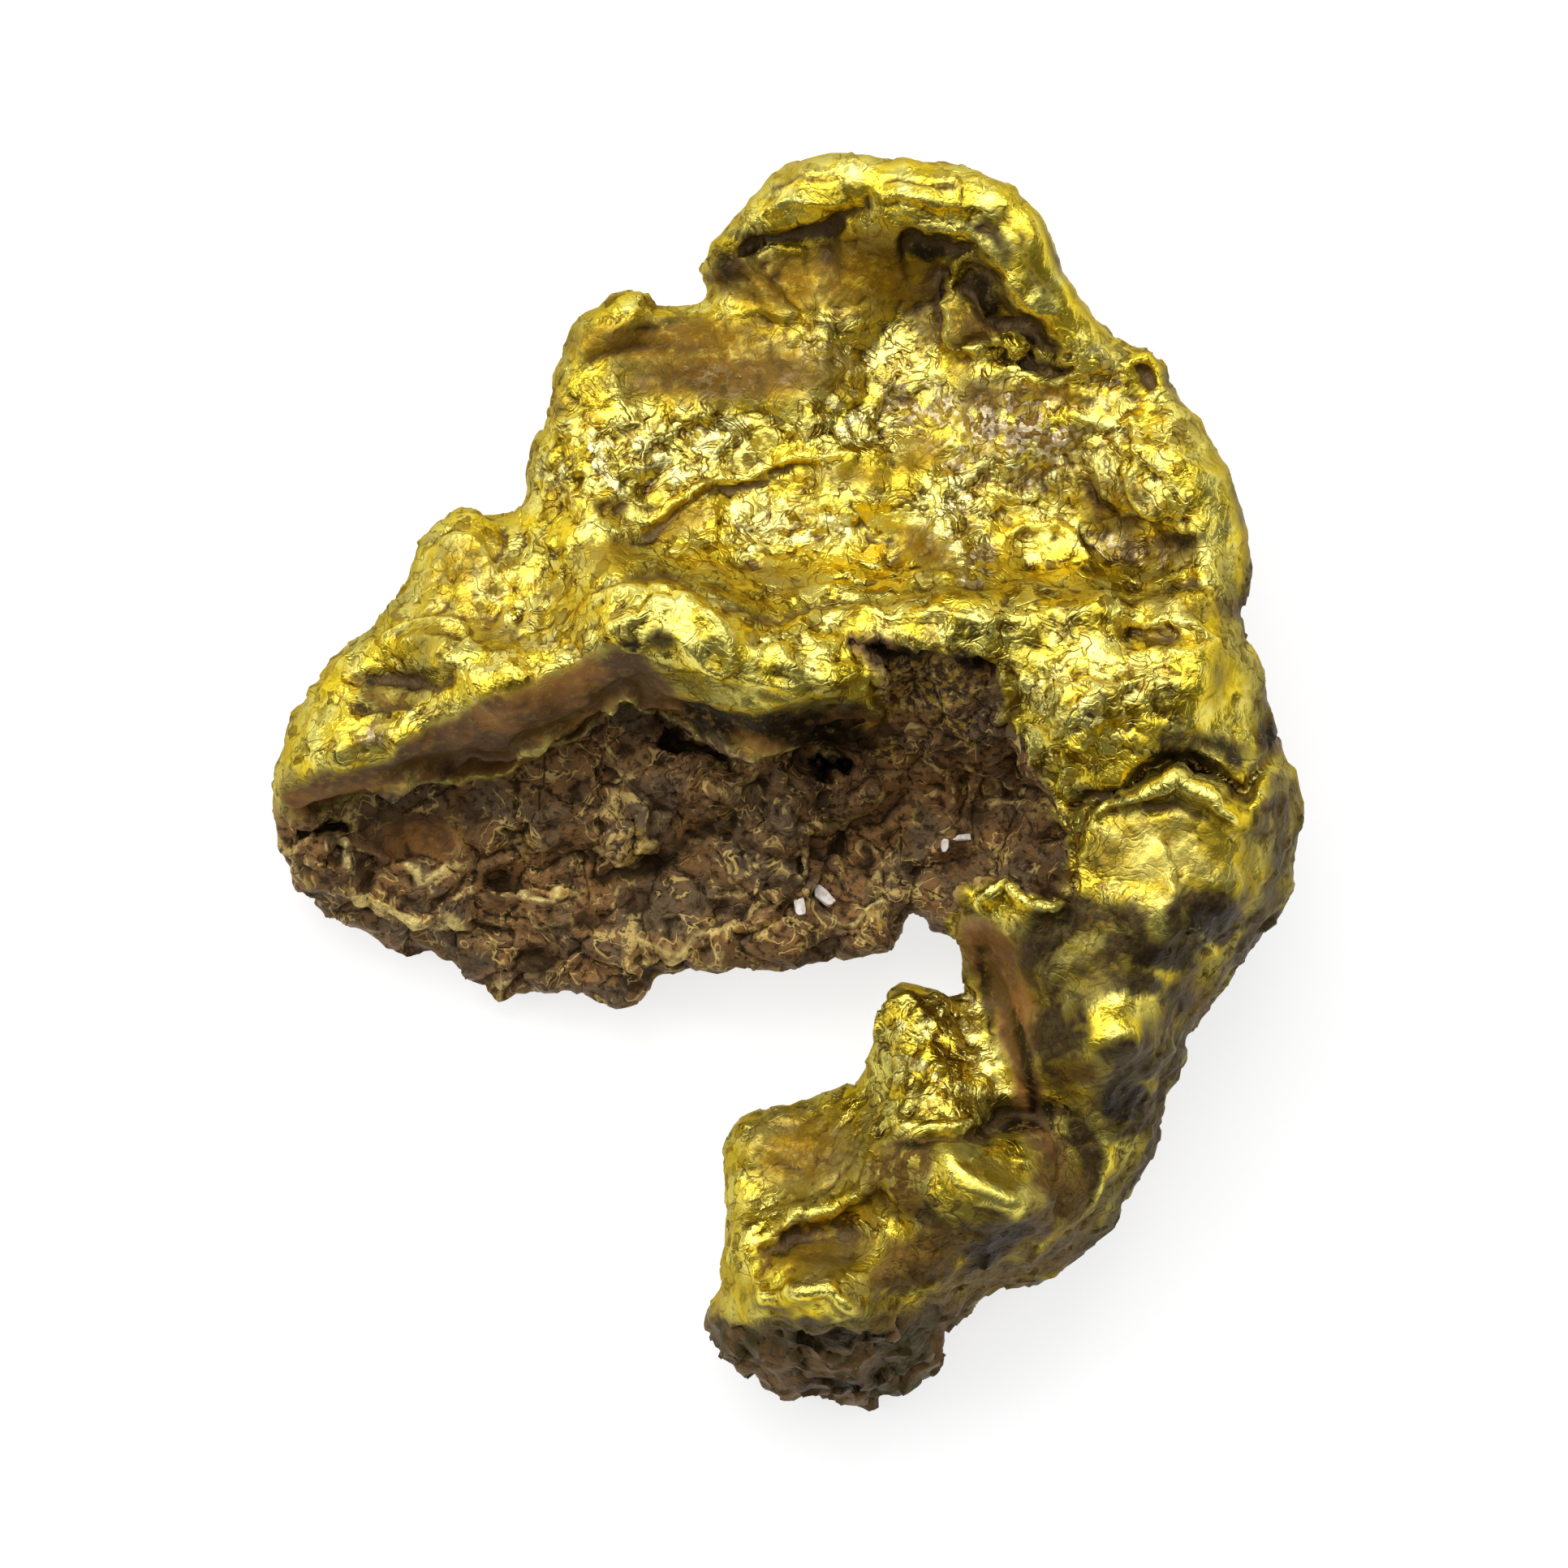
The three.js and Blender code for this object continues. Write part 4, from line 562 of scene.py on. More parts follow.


# Fine lines: the line, the rise (a crease when negative), half the width and the gleam of the worn edge,
# which is partly a painted highlight. Creases are painted dark along their length, partly dirt and partly
# painted shade.
LIP = [
    (4.1, 9.8), (4.5, 9.75), (5.0, 9.68), (5.5, 9.55), (6.0, 9.53), (6.3, 9.48), (6.5, 9.28), (6.8, 9.18),
    (7.1, 9.05), (7.35, 8.95), (7.45, 8.8), (7.7, 8.65), (7.9, 8.66), (8.05, 8.78), (8.3, 8.92),
    (8.7, 9.05), (8.9, 9.15), (9.2, 9.28), (9.6, 9.25), (9.9, 9.12), (10.5, 8.98), (11.0, 8.9),
]
LIP_SHADE = [(x, y - 0.16) for x, y in LIP]
FINE_LINES = [
    (LIP, 0.05, 0.04, 0.6),
    (LIP_SHADE, -0.12, 0.09, 0),
    # the fold's upper edge and the crumpled ridge inside it
    ([(7.3, 7.7), (7.35, 7.2), (7.8, 7.04), (8.2, 7.04), (8.6, 7.2), (9.0, 7.42), (9.35, 7.58), (9.6, 7.6),
      (9.85, 7.52), (10.2, 7.42), (10.6, 7.5), (11.0, 7.45)], -0.1, 0.05, 0),
    ([(7.32, 7.71), (7.37, 7.39), (7.6, 7.28), (8.0, 7.23), (8.35, 7.31), (8.5, 7.42), (8.8, 7.68),
      (9.15, 7.82)], 0.09, 0.08, 1),
    ([(7.35, 7.87), (7.6, 7.71), (7.9, 7.58), (8.1, 7.42), (8.4, 7.52), (8.6, 7.58)], 0.09, 0.08, 1),
    ([(8.5, 7.6), (8.75, 7.65), (8.95, 7.9), (9.0, 8.15), (8.85, 8.25), (8.6, 8.05), (8.48, 7.8),
      (8.5, 7.6)], 0.09, 0.08, 1),
    ([(7.6, 7.95), (7.7, 8.02), (7.9, 8.05), (8.05, 7.9)], 0.05, 0.05, 0.6),
    ([(9.5, 7.85), (9.7, 8.1), (9.95, 8.3)], 0.09, 0.1, 1),
    ([(9.0, 8.3), (9.3, 8.4), (9.6, 8.42), (9.9, 8.5)], 0.05, 0.06, 0.5),
    ([(9.9, 7.7), (10.1, 7.95), (10.3, 8.05), (10.35, 7.8)], 0.06, 0.06, 0.6),
    ([(10.5, 8.5), (10.75, 8.68), (10.95, 8.75)], 0.06, 0.06, 0.8),
    ([(10.2, 7.55), (10.6, 7.5), (11.0, 7.6), (11.5, 7.55), (12.0, 7.65), (12.5, 7.6), (13.0, 7.7)],
      0.06, 0.05, 0.6),
    ([(10.4, 7.8), (10.8, 7.75), (11.3, 7.85), (11.9, 7.95), (12.4, 8.1)], 0.04, 0.04, 0.8),
    # the left shoulder
    ([(4.7, 8.05), (4.8, 7.75), (5.05, 7.6), (5.4, 7.65), (5.75, 7.8), (5.85, 8.0), (5.65, 8.2)],
      0.08, 0.06, 0.8),
    ([(4.95, 7.95), (5.2, 7.8), (5.5, 7.9), (5.5, 8.05), (5.2, 8.1)], 0.05, 0.05, 0.5),
    ([(4.25, 8.5), (4.6, 8.4), (5.0, 8.35), (5.35, 8.45), (5.7, 8.35)], -0.1, 0.07, 0),
    ([(4.3, 8.75), (4.55, 8.8), (4.8, 8.7), (5.1, 8.75)], -0.07, 0.05, 0),
    ([(5.3, 6.8), (5.6, 6.65), (5.9, 6.75), (6.1, 6.95), (6.0, 7.2)], 0.06, 0.05, 0.5),
    ([(6.15, 6.4), (6.2, 6.7), (6.1, 7.0)], -0.08, 0.06, 0),
    # the dish
    ([(7.5, 6.75), (7.7, 6.6), (8.0, 6.52), (8.3, 6.22), (8.7, 5.98), (9.0, 5.88), (9.4, 5.78), (9.9, 5.65),
      (10.5, 5.55), (11.0, 5.6)], 0.07, 0.05, 0.6),
    ([(7.55, 6.9), (7.75, 6.72), (8.05, 6.63), (8.35, 6.33), (8.75, 6.08), (9.05, 5.98), (9.45, 5.88),
      (9.9, 5.76), (10.2, 5.78)], -0.05, 0.05, 0),
    ([(7.35, 6.15), (7.5, 6.3), (7.7, 6.22), (7.6, 6.4)], -0.1, 0.07, 0),
    ([(12.0, 5.95), (12.3, 6.13), (12.65, 6.2), (12.95, 6.18)], 0.07, 0.05, 0.8),
    ([(12.4, 6.95), (12.42, 6.68), (12.65, 6.52), (13.0, 6.48), (13.3, 6.6), (13.4, 6.85), (13.2, 7.1),
      (12.8, 7.18), (12.5, 7.1)], 0.07, 0.05, 0.5),
    ([(13.1, 5.5), (13.3, 5.9), (13.5, 6.2), (13.9, 6.45), (14.5, 6.55)], -0.07, 0.05, 0),
    ([(13.6, 5.1), (13.95, 5.2), (14.0, 5.75), (13.85, 6.0), (14.1, 6.35), (14.3, 6.48), (14.6, 6.6),
      (14.8, 6.85)], 0.08, 0.06, 0.8),
    ([(14.45, 7.2), (14.65, 7.12), (14.85, 7.25)], -0.12, 0.07, 0),
    ([(14.0, 4.5), (14.05, 4.7), (14.15, 4.85)], -0.1, 0.07, 0),
    ([(8.9, 3.9), (9.5, 3.8), (10.2, 4.0), (10.8, 3.9)], 0.05, 0.06, 0),
    ([(7.0, 4.6), (7.5, 4.35), (8.3, 4.2), (9.0, 4.3)], -0.05, 0.06, 0),
    # the top lobe: dents of the rolled rim, and the dirty folds inside it
    ([(9.15, 2.8), (9.45, 2.6), (9.8, 2.5), (10.2, 2.55), (10.45, 2.4)], 0.06, 0.06, 0.5),
    ([(9.5, 2.4), (9.8, 2.25), (10.2, 2.25), (10.4, 2.15)], -0.05, 0.06, 0),
    ([(10.8, 2.3), (11.1, 2.2), (11.5, 2.35), (11.9, 2.3)], -0.06, 0.06, 0),
    ([(10.8, 2.58), (11.1, 2.45), (11.5, 2.52), (11.8, 2.48), (12.1, 2.65)], 0.06, 0.06, 0.6),
    ([(12.2, 2.6), (12.5, 2.95), (12.75, 3.4), (13.05, 3.8)], -0.04, 0.07, 0),
    ([(8.85, 3.4), (9.0, 3.12), (9.4, 2.93), (9.8, 2.86), (10.2, 2.8), (10.5, 2.7), (10.62, 2.4)],
      -0.14, 0.08, 0),
    ([(10.95, 2.88), (11.3, 2.95), (11.6, 3.05), (11.85, 3.15), (12.1, 3.1)], -0.16, 0.09, 0),
    ([(10.7, 2.6), (11.0, 2.7), (11.4, 2.72), (11.9, 2.85), (12.3, 3.2), (12.6, 3.65), (12.95, 4.1)],
      0.07, 0.07, 0.7),
    ([(11.65, 3.55), (11.72, 3.9), (11.85, 4.25), (12.05, 4.35), (12.25, 4.2), (12.5, 4.35), (12.75, 4.2),
      (12.9, 4.0)], 0.1, 0.05, 0.7),
    ([(11.85, 3.5), (12.0, 3.8), (12.15, 3.95), (12.4, 4.0), (12.7, 3.95), (12.9, 4.2)], -0.16, 0.1, 0),
    ([(12.3, 4.5), (12.7, 4.6), (13.1, 4.72), (13.3, 4.6)], 0.08, 0.05, 0.6),
    ([(12.5, 4.48), (12.8, 4.58), (13.1, 4.62), (13.3, 4.5)], -0.12, 0.07, 0),
    ([(11.5, 3.2), (11.45, 3.6), (11.55, 4.0), (11.5, 4.3)], -0.08, 0.07, 0),
    # the pillow on the right
    ([(13.65, 7.9), (13.85, 7.65), (14.3, 7.58), (14.7, 7.7), (14.95, 7.95), (14.7, 8.08), (14.2, 8.02),
      (13.85, 8.05)], 0.06, 0.05, 0.7),
    ([(12.75, 8.3), (13.0, 8.55), (13.3, 8.45), (13.6, 8.6), (14.0, 8.4), (14.5, 8.45)], 0.05, 0.05, 0.5),
    ([(12.8, 8.8), (13.0, 9.0), (13.3, 8.9), (13.35, 9.15), (13.1, 9.25)], 0.05, 0.05, 0.6),
    # the hollow: broken edges that have stayed bright, with a painted highlight along them
    ([(4.3, 10.95), (4.6, 11.22), (5.0, 11.38), (5.35, 11.42), (5.6, 11.38), (5.9, 11.52)], 0.1, 0.08, 1),
    ([(4.1, 10.25), (4.25, 10.35), (4.35, 10.6), (4.4, 10.8)], 0.08, 0.06, 0.9),
    ([(4.88, 10.6), (5.0, 10.7), (5.15, 10.87), (5.35, 10.78), (5.5, 10.62), (5.7, 10.66)], 0.08, 0.06, 1),
    ([(6.0, 11.05), (6.3, 11.0), (6.6, 11.08), (6.9, 11.0), (7.25, 11.05)], 0.05, 0.05, 0.9),
    ([(7.15, 10.5), (7.4, 10.62), (7.7, 10.6), (8.0, 10.45), (8.2, 10.3)], 0.05, 0.05, 0.9),
    ([(7.2, 9.1), (7.45, 9.3), (7.6, 9.6), (7.5, 9.9), (7.2, 9.8)], 0.05, 0.04, 0.45),
    ([(6.5, 11.15), (6.6, 11.45), (7.0, 11.3), (7.1, 11.6)], 0.05, 0.04, 0.5),
    ([(7.6, 11.9), (8.0, 11.9), (8.3, 11.8), (8.6, 11.6), (8.9, 11.5), (9.2, 11.35)], 0.05, 0.05, 0.8),
    ([(9.0, 10.5), (9.2, 10.4), (9.3, 10.7), (9.0, 10.8)], 0.05, 0.04, 0.5),
    ([(9.75, 10.3), (9.95, 10.5), (9.9, 10.8), (9.7, 10.95)], 0.05, 0.05, 0.6),
    ([(10.1, 10.2), (10.35, 10.05), (10.6, 9.95), (10.75, 9.8), (10.8, 9.65)], 0.04, 0.05, 0.7),
    ([(10.0, 11.25), (10.4, 11.3), (10.8, 11.1), (11.1, 11.2)], 0.05, 0.05, 0.7),
    ([(8.1, 9.1), (8.4, 9.25), (8.8, 9.2), (9.1, 9.5)], -0.12, 0.07, 0),
    ([(8.8, 9.9), (9.0, 10.15), (8.85, 10.45)], -0.1, 0.06, 0),
    ([(8.2, 10.5), (7.9, 10.75), (7.5, 10.85), (7.2, 10.75)], -0.12, 0.07, 0),
    ([(6.1, 10.2), (6.4, 10.35), (6.6, 10.55)], -0.08, 0.06, 0),
    ([(6.3, 11.8), (6.7, 11.9), (7.0, 11.75)], -0.1, 0.08, 0),
    # the arm
    ([(13.2, 10.12), (13.5, 10.02), (13.9, 9.85), (14.2, 9.65), (14.45, 9.6), (14.8, 9.75), (15.15, 9.98),
      (15.4, 10.3)], 0.06, 0.06, 0.9),
    ([(14.0, 10.1), (14.25, 10.45), (14.45, 10.8), (14.5, 11.1)], 0.05, 0.08, 0.6),
    ([(14.6, 10.2), (14.8, 10.6), (14.9, 11.0)], 0.05, 0.08, 0.4),
    ([(14.55, 11.3), (14.75, 11.6), (15.0, 11.8)], 0.06, 0.06, 0.6),
    ([(14.0, 9.95), (14.4, 9.9), (14.8, 10.1)], -0.06, 0.07, 0),
    ([(12.0, 11.3), (12.1, 11.0), (12.35, 10.86), (12.6, 11.05), (12.9, 11.2), (13.15, 11.05)],
      0.08, 0.07, 1),
    ([(12.1, 11.55), (12.25, 12.0), (12.5, 12.6), (12.6, 13.2)], -0.06, 0.1, 0),
    ([(10.9, 13.75), (11.15, 13.9), (11.6, 13.85), (12.0, 13.8), (12.4, 13.75)], 0.06, 0.08, 1),
    ([(11.2, 14.05), (11.8, 14.0), (12.3, 13.98)], -0.12, 0.08, 0),
    ([(11.5, 14.3), (11.9, 14.4), (12.2, 14.6), (12.5, 14.85), (12.75, 14.98)], 0.03, 0.2, 0.7),
    ([(10.72, 13.1), (10.9, 12.5), (11.2, 12.35), (11.5, 12.6), (11.4, 12.95), (11.1, 13.1)],
      0.06, 0.06, 0.4),
    ([(9.0, 15.9), (9.15, 15.3), (9.35, 15.0), (9.8, 14.9), (10.3, 14.85), (10.6, 14.6)], 0.06, 0.07, 0.6),
    ([(9.3, 16.1), (9.5, 15.95), (9.8, 15.8), (10.2, 15.85), (10.5, 16.05), (10.7, 16.15)],
      0.06, 0.08, 0.6),
    ([(9.4, 15.75), (9.5, 15.4), (9.8, 15.2), (10.1, 15.15)], -0.05, 0.08, 0),
    ([(12.9, 13.7), (13.1, 14.1), (13.0, 14.6), (13.2, 15.1)], -0.1, 0.09, 0),
    ([(13.5, 13.9), (13.7, 14.3), (13.4, 14.9), (12.9, 15.3)], 0.07, 0.09, 0),
]

# Stains of iron: rough and broken in the hollow, smooth on the cliff under the fold and on the arm's flank.
CLIFF = [
    (3.5, 9.8), (3.95, 9.45), (4.7, 9.42), (4.85, 9.2), (5.3, 8.95), (5.75, 8.72), (6.2, 8.55), (6.7, 8.32),
    (7.2, 8.1), (7.6, 8.0), (7.95, 8.02), (8.1, 8.25), (8.3, 8.5), (8.6, 8.8), (9.2, 9.0), (9.9, 8.98),
    (10.9, 8.85), (10.9, 9.2), (9.6, 9.5), (9.0, 9.5), (8.2, 9.2), (7.9, 8.95), (7.5, 9.0), (6.8, 9.5),
    (6.3, 9.8), (5.2, 9.95), (4.4, 10.05), (3.6, 10.4),
]
ARM_FLANK = [
    (11.85, 11.3), (12.1, 11.25), (12.4, 11.5), (12.65, 11.95), (12.78, 12.5), (12.85, 13.2), (12.95, 13.7),
    (13.05, 14.0), (12.95, 14.3), (12.7, 14.2), (12.5, 13.8), (12.4, 13.0), (12.2, 12.3), (11.9, 12.0),
]
TIP = [
    (8.6, 16.1), (9.2, 16.3), (9.9, 16.45), (10.6, 16.35), (11.2, 16.2), (11.7, 15.9), (12.0, 16.2),
    (11.9, 16.9), (10.6, 17.7), (9.0, 17.4), (8.4, 16.6),
]
JAW = [
    (3.3, 10.2), (3.7, 10.4), (4.0, 10.8), (4.5, 11.2), (5.1, 11.5), (5.9, 11.55), (6.2, 12.6), (3.4, 11.6),
]
STAINS = [
    (12.95, 14.6, (0.5, 0.6), 0, 0.8), (11.3, 15.5, (0.75, 0.4), 30, 0.75),
    (11.0, 14.5, (0.45, 0.55), -10, 1), (11.3, 14.3, (0.3, 0.35), 0, 0.9),
    (10.5, 15.4, (0.5, 0.35), 10, 0.5), (12.6, 15.4, (1.0, 0.5), 30, 0.6), (3.6, 9.9, (0.25, 0.6), 0, 0.6),
    (8.9, 4.65, (1.7, 0.3), 3, 0.65), (8.2, 4.2, (1.4, 0.3), 3, 0.45), (11.4, 3.7, (0.35, 0.7), 0, 0.75),
    (12.1, 3.9, (0.5, 0.4), 0, 0.7), (13.0, 4.6, (0.4, 0.2), -20, 0.7), (12.3, 4.9, (0.7, 0.25), -15, 0.7),
    (13.7, 6.2, (0.6, 0.4), -30, 0.6), (14.5, 6.7, (0.35, 0.25), 0, 0.8), (5.0, 8.5, (0.6, 0.3), 5, 0.75),
    (14.2, 7.85, (0.35, 0.14), -8, 0.7), (7.5, 6.25, (0.3, 0.15), -10, 0.6),
    (9.0, 3.35, (0.3, 0.25), 40, 0.8), (13.4, 13.4, (0.6, 0.35), -60, 0.6),
    (12.2, 3.6, (0.35, 0.25), -40, 0.6), (6.9, 4.8, (0.15, 0.4), 0, 0.6), (10.9, 15.9, (0.7, 0.4), 10, 0.6),
    (14.7, 12.3, (0.3, 0.4), 30, 0.6), (15.65, 9.15, (0.2, 0.2), 0, 0.8), (9.7, 3.2, (0.7, 0.2), 5, 0.4),
]
AMBERS = [
    (8.3, 4.2, (1.5, 0.35), 3, 1), (9.0, 4.6, (1.6, 0.42), 0, 1), (8.45, 6.4, (0.4, 0.2), 25, 0.8),
    (11.4, 6.75, (0.45, 0.25), -35, 0.9), (9.6, 7.1, (0.5, 0.2), -15, 0.6),
    (11.35, 5.6, (0.4, 0.25), 20, 0.8), (10.6, 5.85, (0.6, 0.15), 0, 0.8), (9.9, 14.2, (0.8, 0.6), 0, 0.9),
    (5.7, 6.9, (0.5, 0.4), 30, 0.6), (10.6, 3.35, (1.0, 0.6), 0, 0.95), (10.0, 15.4, (0.6, 0.4), 0, 0.9),
    (5.3, 7.9, (0.4, 0.25), 10, 0.5), (7.5, 6.8, (0.5, 0.2), 10, 0.7), (6.5, 10.55, (0.6, 0.35), 0, 0.6),
    (9.6, 3.5, (0.8, 0.45), 0, 0.95), (8.0, 7.13, (0.5, 0.07), 0, 0.8), (14.35, 10.5, (1.1, 0.75), -5, 0.5),
    (8.9, 7.42, (0.6, 0.09), -26, 0.5), (14.6, 7.5, (0.8, 0.12), -5, 0.6),
    (11.8, 4.2, (0.25, 0.5), 15, 0.7), (13.0, 4.85, (0.5, 0.12), -15, 0.9),
    (4.5, 9.2, (0.35, 0.3), 20, 0.5), (5.9, 7.7, (0.8, 0.2), -20, 0.6), (5.6, 7.2, (0.9, 0.6), 30, 0.35),
]
PALES = [
    (11.4, 5.0, (0.6, 0.35), -20, 0.8), (12.5, 5.25, (1.0, 0.45), -15, 1),
    (12.7, 5.9, (0.35, 0.2), -20, 0.8), (12.05, 6.95, (0.2, 0.35), -30, 1),
    (13.8, 6.75, (0.4, 0.2), -20, 0.8), (14.3, 6.8, (0.25, 0.2), 0, 0.8),
    (11.8, 5.6, (0.4, 0.25), -30, 0.7), (4.65, 9.05, (0.2, 0.15), 20, 0.7),
    (13.6, 4.7, (0.25, 0.5), 25, 0.5), (10.3, 4.2, (0.6, 0.3), 0, 0.3), (9.1, 4.7, (0.9, 0.2), 0, 0.3),
]
# Olive washes: partly olive tarnish, partly painted shade on the arm, under the fold and under the top lobe's
# rim.
OLIVES = [
    (14.85, 11.35, (0.5, 0.4), 20, 1), (14.3, 11.75, (0.6, 0.25), -8, 1), (13.2, 11.95, (0.6, 0.5), 0, 1),
    (13.7, 11.35, (0.5, 0.3), 10, 0.8), (13.05, 12.95, (0.3, 0.5), 0, 1), (14.5, 12.3, (0.35, 0.3), 0, 0.9),
    (13.3, 11.5, (0.85, 0.5), 0, 1.3), (14.83, 11.28, (0.55, 0.4), 0, 1.2),
    (13.05, 12.7, (0.4, 0.5), 0, 1.2), (8.15, 7.9, (0.24, 0.2), -30, 0.8),
    (9.3, 8.55, (0.6, 0.12), -15, 0.6), (9.4, 8.8, (1.0, 0.15), -20, 0.3),
    (10.2, 8.85, (0.7, 0.12), -3, 0.6), (14.9, 9.2, (0.9, 0.22), -10, 0.75),
    (13.6, 10.5, (0.4, 0.28), 0, 0.5), (12.9, 12.3, (0.35, 1.0), 12, 1.2),
    (13.2, 14.4, (0.4, 0.7), -10, 1.1), (13.9, 12.08, (0.6, 0.2), -8, 1), (13.9, 13.4, (0.6, 0.7), 30, 1),
    (11.9, 15.1, (0.8, 0.4), -25, 0.9), (11.7, 14.15, (0.5, 0.15), 0, 0.8),
    (12.6, 15.1, (0.6, 0.4), -30, 0.8), (9.8, 16.3, (0.8, 0.18), 0, 0.7), (14.4, 12.9, (0.3, 0.5), 20, 0.8),
    (11.3, 15.6, (0.6, 0.4), 30, 0.9), (12.2, 3.0, (0.25, 0.4), 40, 0.7), (9.5, 2.8, (0.6, 0.15), 20, 0.6),
    (15.5, 7.2, (0.2, 0.6), 0, 0.5), (8.0, 7.95, (0.4, 0.12), 0, 0.6), (13.0, 9.5, (0.4, 0.15), 0, 0.5),
]
# Dark spots: painted shade in pits and crevices, under the fold's lip and under the rims.
DARKS = [
    (10.15, 9.38, (0.38, 0.17), -5, 1), (8.45, 9.22, (0.3, 0.12), -20, 0.9),
    (4.05, 10.15, (0.25, 0.1), 10, 0.9), (6.55, 11.95, (0.4, 0.15), -10, 0.6),
    (11.0, 8.02, (0.45, 0.1), -5, 1), (12.0, 8.15, (0.4, 0.1), -20, 0.7), (5.3, 9.55, (1.2, 0.1), 8, 0.5),
    (6.9, 9.05, (0.5, 0.1), 30, 0.6), (9.8, 9.02, (1.1, 0.17), -3, 1), (8.75, 8.95, (0.5, 0.14), -30, 0.9),
    (7.86, 7.98, (0.12, 0.08), 0, 1), (9.75, 2.86, (0.75, 0.09), 3, 1), (9.0, 3.3, (0.14, 0.3), 30, 0.6),
    (10.68, 2.5, (0.07, 0.14), 0, 0.9), (11.5, 3.1, (0.42, 0.11), -5, 1),
    (12.15, 3.7, (0.32, 0.26), -40, 1), (11.6, 3.75, (0.07, 0.5), 5, 0.7),
    (12.75, 4.15, (0.45, 0.08), -20, 1), (12.95, 4.55, (0.4, 0.1), -10, 1),
    (14.05, 4.72, (0.1, 0.2), 30, 0.8), (13.5, 6.15, (0.4, 0.05), -40, 0.7),
    (14.55, 7.22, (0.2, 0.08), 0, 0.9), (14.5, 6.7, (0.3, 0.12), -10, 0.7), (5.0, 8.4, (0.5, 0.1), 5, 0.8),
    (4.6, 8.75, (0.3, 0.07), -10, 0.7), (8.55, 6.3, (0.45, 0.05), 35, 0.6),
    (13.4, 9.83, (0.6, 0.06), -5, 0.8), (14.4, 9.32, (0.55, 0.07), -5, 1),
    (15.1, 9.3, (0.35, 0.2), -30, 0.9), (15.6, 9.0, (0.15, 0.25), 10, 0.8),
    (14.85, 11.35, (0.4, 0.25), 20, 0.9), (14.2, 11.8, (0.5, 0.12), 15, 0.7),
    (14.5, 9.85, (0.28, 0.08), -15, 0.7), (14.55, 12.3, (0.25, 0.2), 0, 0.7),
    (12.95, 13.6, (0.3, 0.12), 0, 1), (13.8, 13.5, (0.3, 0.3), 0, 1), (12.5, 13.8, (0.6, 0.13), 5, 0.9),
    (13.1, 14.2, (0.12, 0.5), -15, 0.5), (11.5, 14.1, (0.5, 0.12), 0, 0.6),
    (9.7, 15.3, (0.4, 0.09), 25, 0.8), (12.3, 15.3, (0.6, 0.2), 35, 0.7), (10.3, 16.5, (0.7, 0.1), 3, 0.8),
    (10.4, 17.1, (0.9, 0.15), 0, 0.6), (8.2, 10.55, (0.4, 0.12), 20, 0.7), (5.8, 10.4, (0.2, 0.5), 20, 0.5),
    (9.7, 11.0, (0.12, 0.4), -20, 0.6), (4.6, 10.1, (0.35, 0.1), 0, 0.4),
    (12.2, 12.3, (0.07, 0.8), 12, 0.7), (12.65, 12.9, (0.1, 0.8), 10, 0.8),
    (7.75, 12.1, (0.3, 0.1), 0, 0.6), (8.1, 3.95, (0.4, 0.06), 10, 0.6),
]
# Places in the hollow where the gold shows through the stain.
BARE = [
    (6.45, 10.45, (0.35, 0.25), 0, 0.7), (7.75, 10.45, (0.4, 0.25), 10, 0.8),
    (10.75, 11.35, (0.35, 0.2), 15, 0.8), (12.3, 10.55, (0.2, 0.08), 0, 0.8),
    (10.95, 9.2, (0.2, 0.15), 0, 0.8), (8.0, 11.75, (0.5, 0.1), 10, 0.6),
    (4.6, 11.1, (0.5, 0.12), -25, 0.7), (11.7, 8.95, (0.3, 0.1), 0, 0.8), (12.8, 9.9, (0.12, 0.5), 15, 0.6),
    (9.3, 11.45, (0.4, 0.1), 10, 0.5), (11.4, 8.45, (0.85, 0.4), 0, 1), (6.9, 11.0, (0.4, 0.08), 0, 0.7),
]
# Where the gold is set with small bright pebbles, and where a stream has worn it smooth.
PEBBLED = [
    (7.5, 5.75, (1.2, 0.5), -8, 1), (10.5, 5.2, (0.7, 0.4), 0, 1), (11.75, 6.4, (0.4, 0.6), -20, 1),
    (12.8, 5.8, (0.7, 0.5), 0, 0.9), (8.8, 5.3, (0.6, 0.4), 0, 0.8), (9.6, 6.5, (1.1, 0.35), 0, 0.7),
    (13.9, 5.9, (0.4, 0.9), 0, 0.7), (13.3, 8.6, (0.8, 0.6), 0, 0.6), (11.5, 12.8, (0.5, 0.6), 0, 1),
    (10.0, 14.1, (0.7, 0.5), 0, 0.5), (6.4, 8.0, (0.9, 0.3), 10, 0.5), (5.9, 7.3, (0.7, 0.5), 0, 0.5),
    (10.5, 4.5, (0.7, 0.4), 0, 0.6), (12.0, 13.4, (0.4, 0.3), 0, 0.6), (10.6, 11.4, (0.5, 0.3), 10, 0.6),
]
POLISHED = [
    (10.5, 2.3, (1.9, 0.45), 0, 0.5), (12.9, 3.4, (0.4, 1.1), 35, 0.8), (9.3, 8.6, (0.9, 0.18), -15, 0.6),
    (6.0, 8.4, (1.0, 0.3), 30, 0.2), (15.0, 8.6, (0.5, 0.6), 0, 0.7), (14.6, 10.6, (1.2, 1.0), 0, 0.6),
    (13.8, 12.4, (0.8, 1.4), -20, 0.55), (12.1, 14.4, (0.8, 0.4), -35, 0.8),
    (15.1, 6.2, (0.35, 1.2), 15, 0.6), (9.6, 16.2, (1.0, 0.5), 0, 0.5), (8.9, 7.9, (1.1, 0.35), -30, 0.5),
    (12.4, 12.4, (0.4, 1.1), -15, 0.7), (5.2, 7.85, (0.4, 0.25), 0, 0.4),
]

# The one smooth place in the hollow, a pocket at its left end.
SMOOTH_POCKET = [(5.1, 10.3, (0.75, 0.33), 0, 1)]

